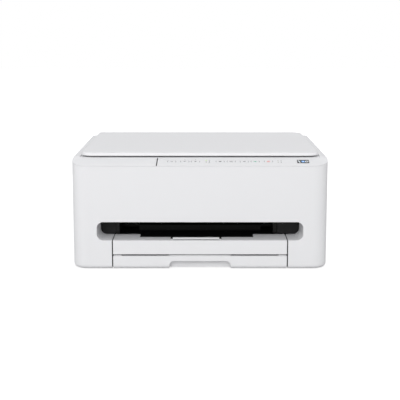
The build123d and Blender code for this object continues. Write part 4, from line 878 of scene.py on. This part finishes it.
def make_exit_details():
    """Rounded apron below the eject roller, and the dark cheeks beside the paper exit."""
    section = [(-84.0, 44.2), (-82.8, 44.2), (-82.8, 51.0), (-82.6, 52.2), (-81.6, 53.1), (-62.5, 53.4),
               (-62.5, 54.6), (-82.0, 54.3), (-83.4, 53.5), (-84.0, 52.0)]
    half = 94
    turned = Matrix(((0, 0, 1, 0), (1, 0, 0, 0), (0, 1, 0, 0), (0, 0, 0, 1)))
    apron = bmesh.new()
    add_plate(apron, Matrix.Translation((-half * mm, 0, 0)) @ turned, section, 2 * half * mm)
    for x0, x1 in ((-122.9, 0.5 - half), (half - 0.5, 118.4)):
        add_box(apron, (x0, -72, 47.5), (x1, -67, 51.5), 0.6)
    for x in (-half, half):
        add_box(apron, (x - 1.2, -83.6, 44.2), (x + 1.2, -63, 54.4), 0.5)
    finish_piece("exit_apron", apron, "root", "apron")
    back = box_mm("output_liner")[0][1]
    cheeks = bmesh.new()
    add_box(cheeks, (-130.3, back - 0.15, 45.6), (-123.1, back + 0.8, 71.6), 0.1)
    add_box(cheeks, (111.6, back + 3, 45.6), (118.4, back + 5, 71.6), 0.3)
    finish_piece("exit_cheeks", cheeks, "root", "cheek")


def make_glass_details():
    """Dark border under the glass, with the white reference strip inside it."""
    (x0, y0, under), (x1, y1, _) = box_mm("platen_glass")
    margin, border_width = 2.6, 3.2
    inner = margin + border_width
    border = bmesh.new()
    for outline in frame_lines(x0 + margin, y0 + margin, x1 - margin, y1 - margin, border_width):
        add_plate(border, upright(0, 0, under - 0.12), outline, 0.1 * mm)
    finish_piece("glass_border", border, "scanner_unit", "chip")
    strip = bmesh.new()
    outline = rectangle(x0 + inner, y0 + inner, x0 + 10.5, y1 - inner)
    add_plate(strip, upright(0, 0, under - 0.15), outline, 0.08 * mm)
    finish_piece("reference_strip", strip, "scanner_unit", "foam")


def make_scan_head_details():
    """Light guide, lens row and sliding feet of the scan head."""
    (x0, y0, _), (_, y1, top) = box_mm("scan_head")
    end_gap = 4.4
    guide = bmesh.new()
    add_box(guide, (x0 + 8.3, y0 + end_gap, top - 1.6), (x0 + 9.4, y1 - end_gap, top - 0.5), 0.3)
    finish_piece("light_guide", guide, "scan_head", "light_guide")
    lens = bmesh.new()
    add_box(lens, (x0 + 9.8, y0 + end_gap, top - 1.8), (x0 + 10.7, y1 - end_gap, top - 0.7), 0.15)
    finish_piece("lens_row", lens, "scan_head", "window_plastic")
    sliders = bmesh.new()
    for y in (y0 + 2.0, y1 - 2.0):
        for x in (x0 + 3.0, x0 + 17.0):
            add_turned(sliders, upright(x, y, top - 0.05), [(1.4, 0), (1.4, 0.2), (1.0, 0.4), (0, 0.45)], 20)
    finish_piece("head_sliders", sliders, "scan_head", "inner_white")


def make_size_marks():
    """Corner arrow and lines for sheet sizes, on the frame beside the glass."""
    (glass_x, _, _), (_, glass_y, _) = box_mm("platen_glass")
    top = box_mm("scanner_cover")[1][2]
    lip, mark_half = 4.5, 0.15
    corner_x, corner_y = glass_x + lip, glass_y - lip
    marks = bmesh.new()
    arrow = [(0.4, 1.2), (-1.2, -0.4), (2.6, -2.6)]
    add_plate(marks, upright(corner_x - 3.4, corner_y + 3.4, top), arrow, print_thickness)
    for size in (105, 148, 210):
        place = upright(corner_x - 2.6, corner_y - size, top)
        add_plate(marks, place, rectangle(-1.8, -mark_half, 1.8, mark_half), print_thickness)
    for size in (148, 210, 297):
        place = upright(corner_x + size, corner_y + 2.6, top)
        add_plate(marks, place, rectangle(-mark_half, -1.5, mark_half, 1.5), print_thickness)
    finish_piece("size_marks", marks, "scanner_unit", "mark_grey")


def make_paper_path():
    """Cork pad and size marks in the cassette, and grip lines on the side guides."""
    level = box_mm("cassette_tray")[0][2] + 2.0
    pad = bmesh.new()
    add_box(pad, (-13.5, 66.0, level - 0.02), (13.5, 92.0, level + 0.9), 0.3)
    finish_piece("cork_pad", pad, "cassette", "cork")
    marks = bmesh.new()
    for index in range(9):
        length = 5 if index % 2 else 8
        for side in (-1, 1):
            place = upright(side * (50 + index * 6), 20, level)
            add_plate(marks, place, rectangle(-0.2, 0, 0.2, length), print_thickness)
    add_plate(marks, upright(0, 110, level), [(-4, 0), (4, 0), (0, 7)], print_thickness)
    add_plate(marks, upright(0, 100, level), rectangle(-1.2, 0, 1.2, 10), print_thickness)
    finish_piece("cassette_marks", marks, "cassette", "mark_grey")
    for node in ("side_guide_left", "side_guide_right"):
        (x0, _, z0), (x1, _, _) = box_mm(node)
        x = x1 - 11.0 if x0 < 0 else x0 + 3.0
        grips = bmesh.new()
        for step in range(6):
            y = -22 + step * 3.2
            add_box(grips, (x, y, z0 + 1.1), (x + 8.0, y + 1.2, z0 + 2.1), 0.3)
        finish_piece(f"{node}_grip", grips, node, "grey_plastic")


make_camera()
make_light()
make_floor()
dress_nodes()
make_strip_marks()
make_display()
make_panel_seam_shade()
make_feet()
make_pad()
make_rear_details()
make_underside()
make_mechanism()
make_cartridge_labels()
make_chips()
make_motor_details()
make_wheel_guides()
make_exit_details()
make_glass_details()
make_scan_head_details()
make_size_marks()
make_paper_path()
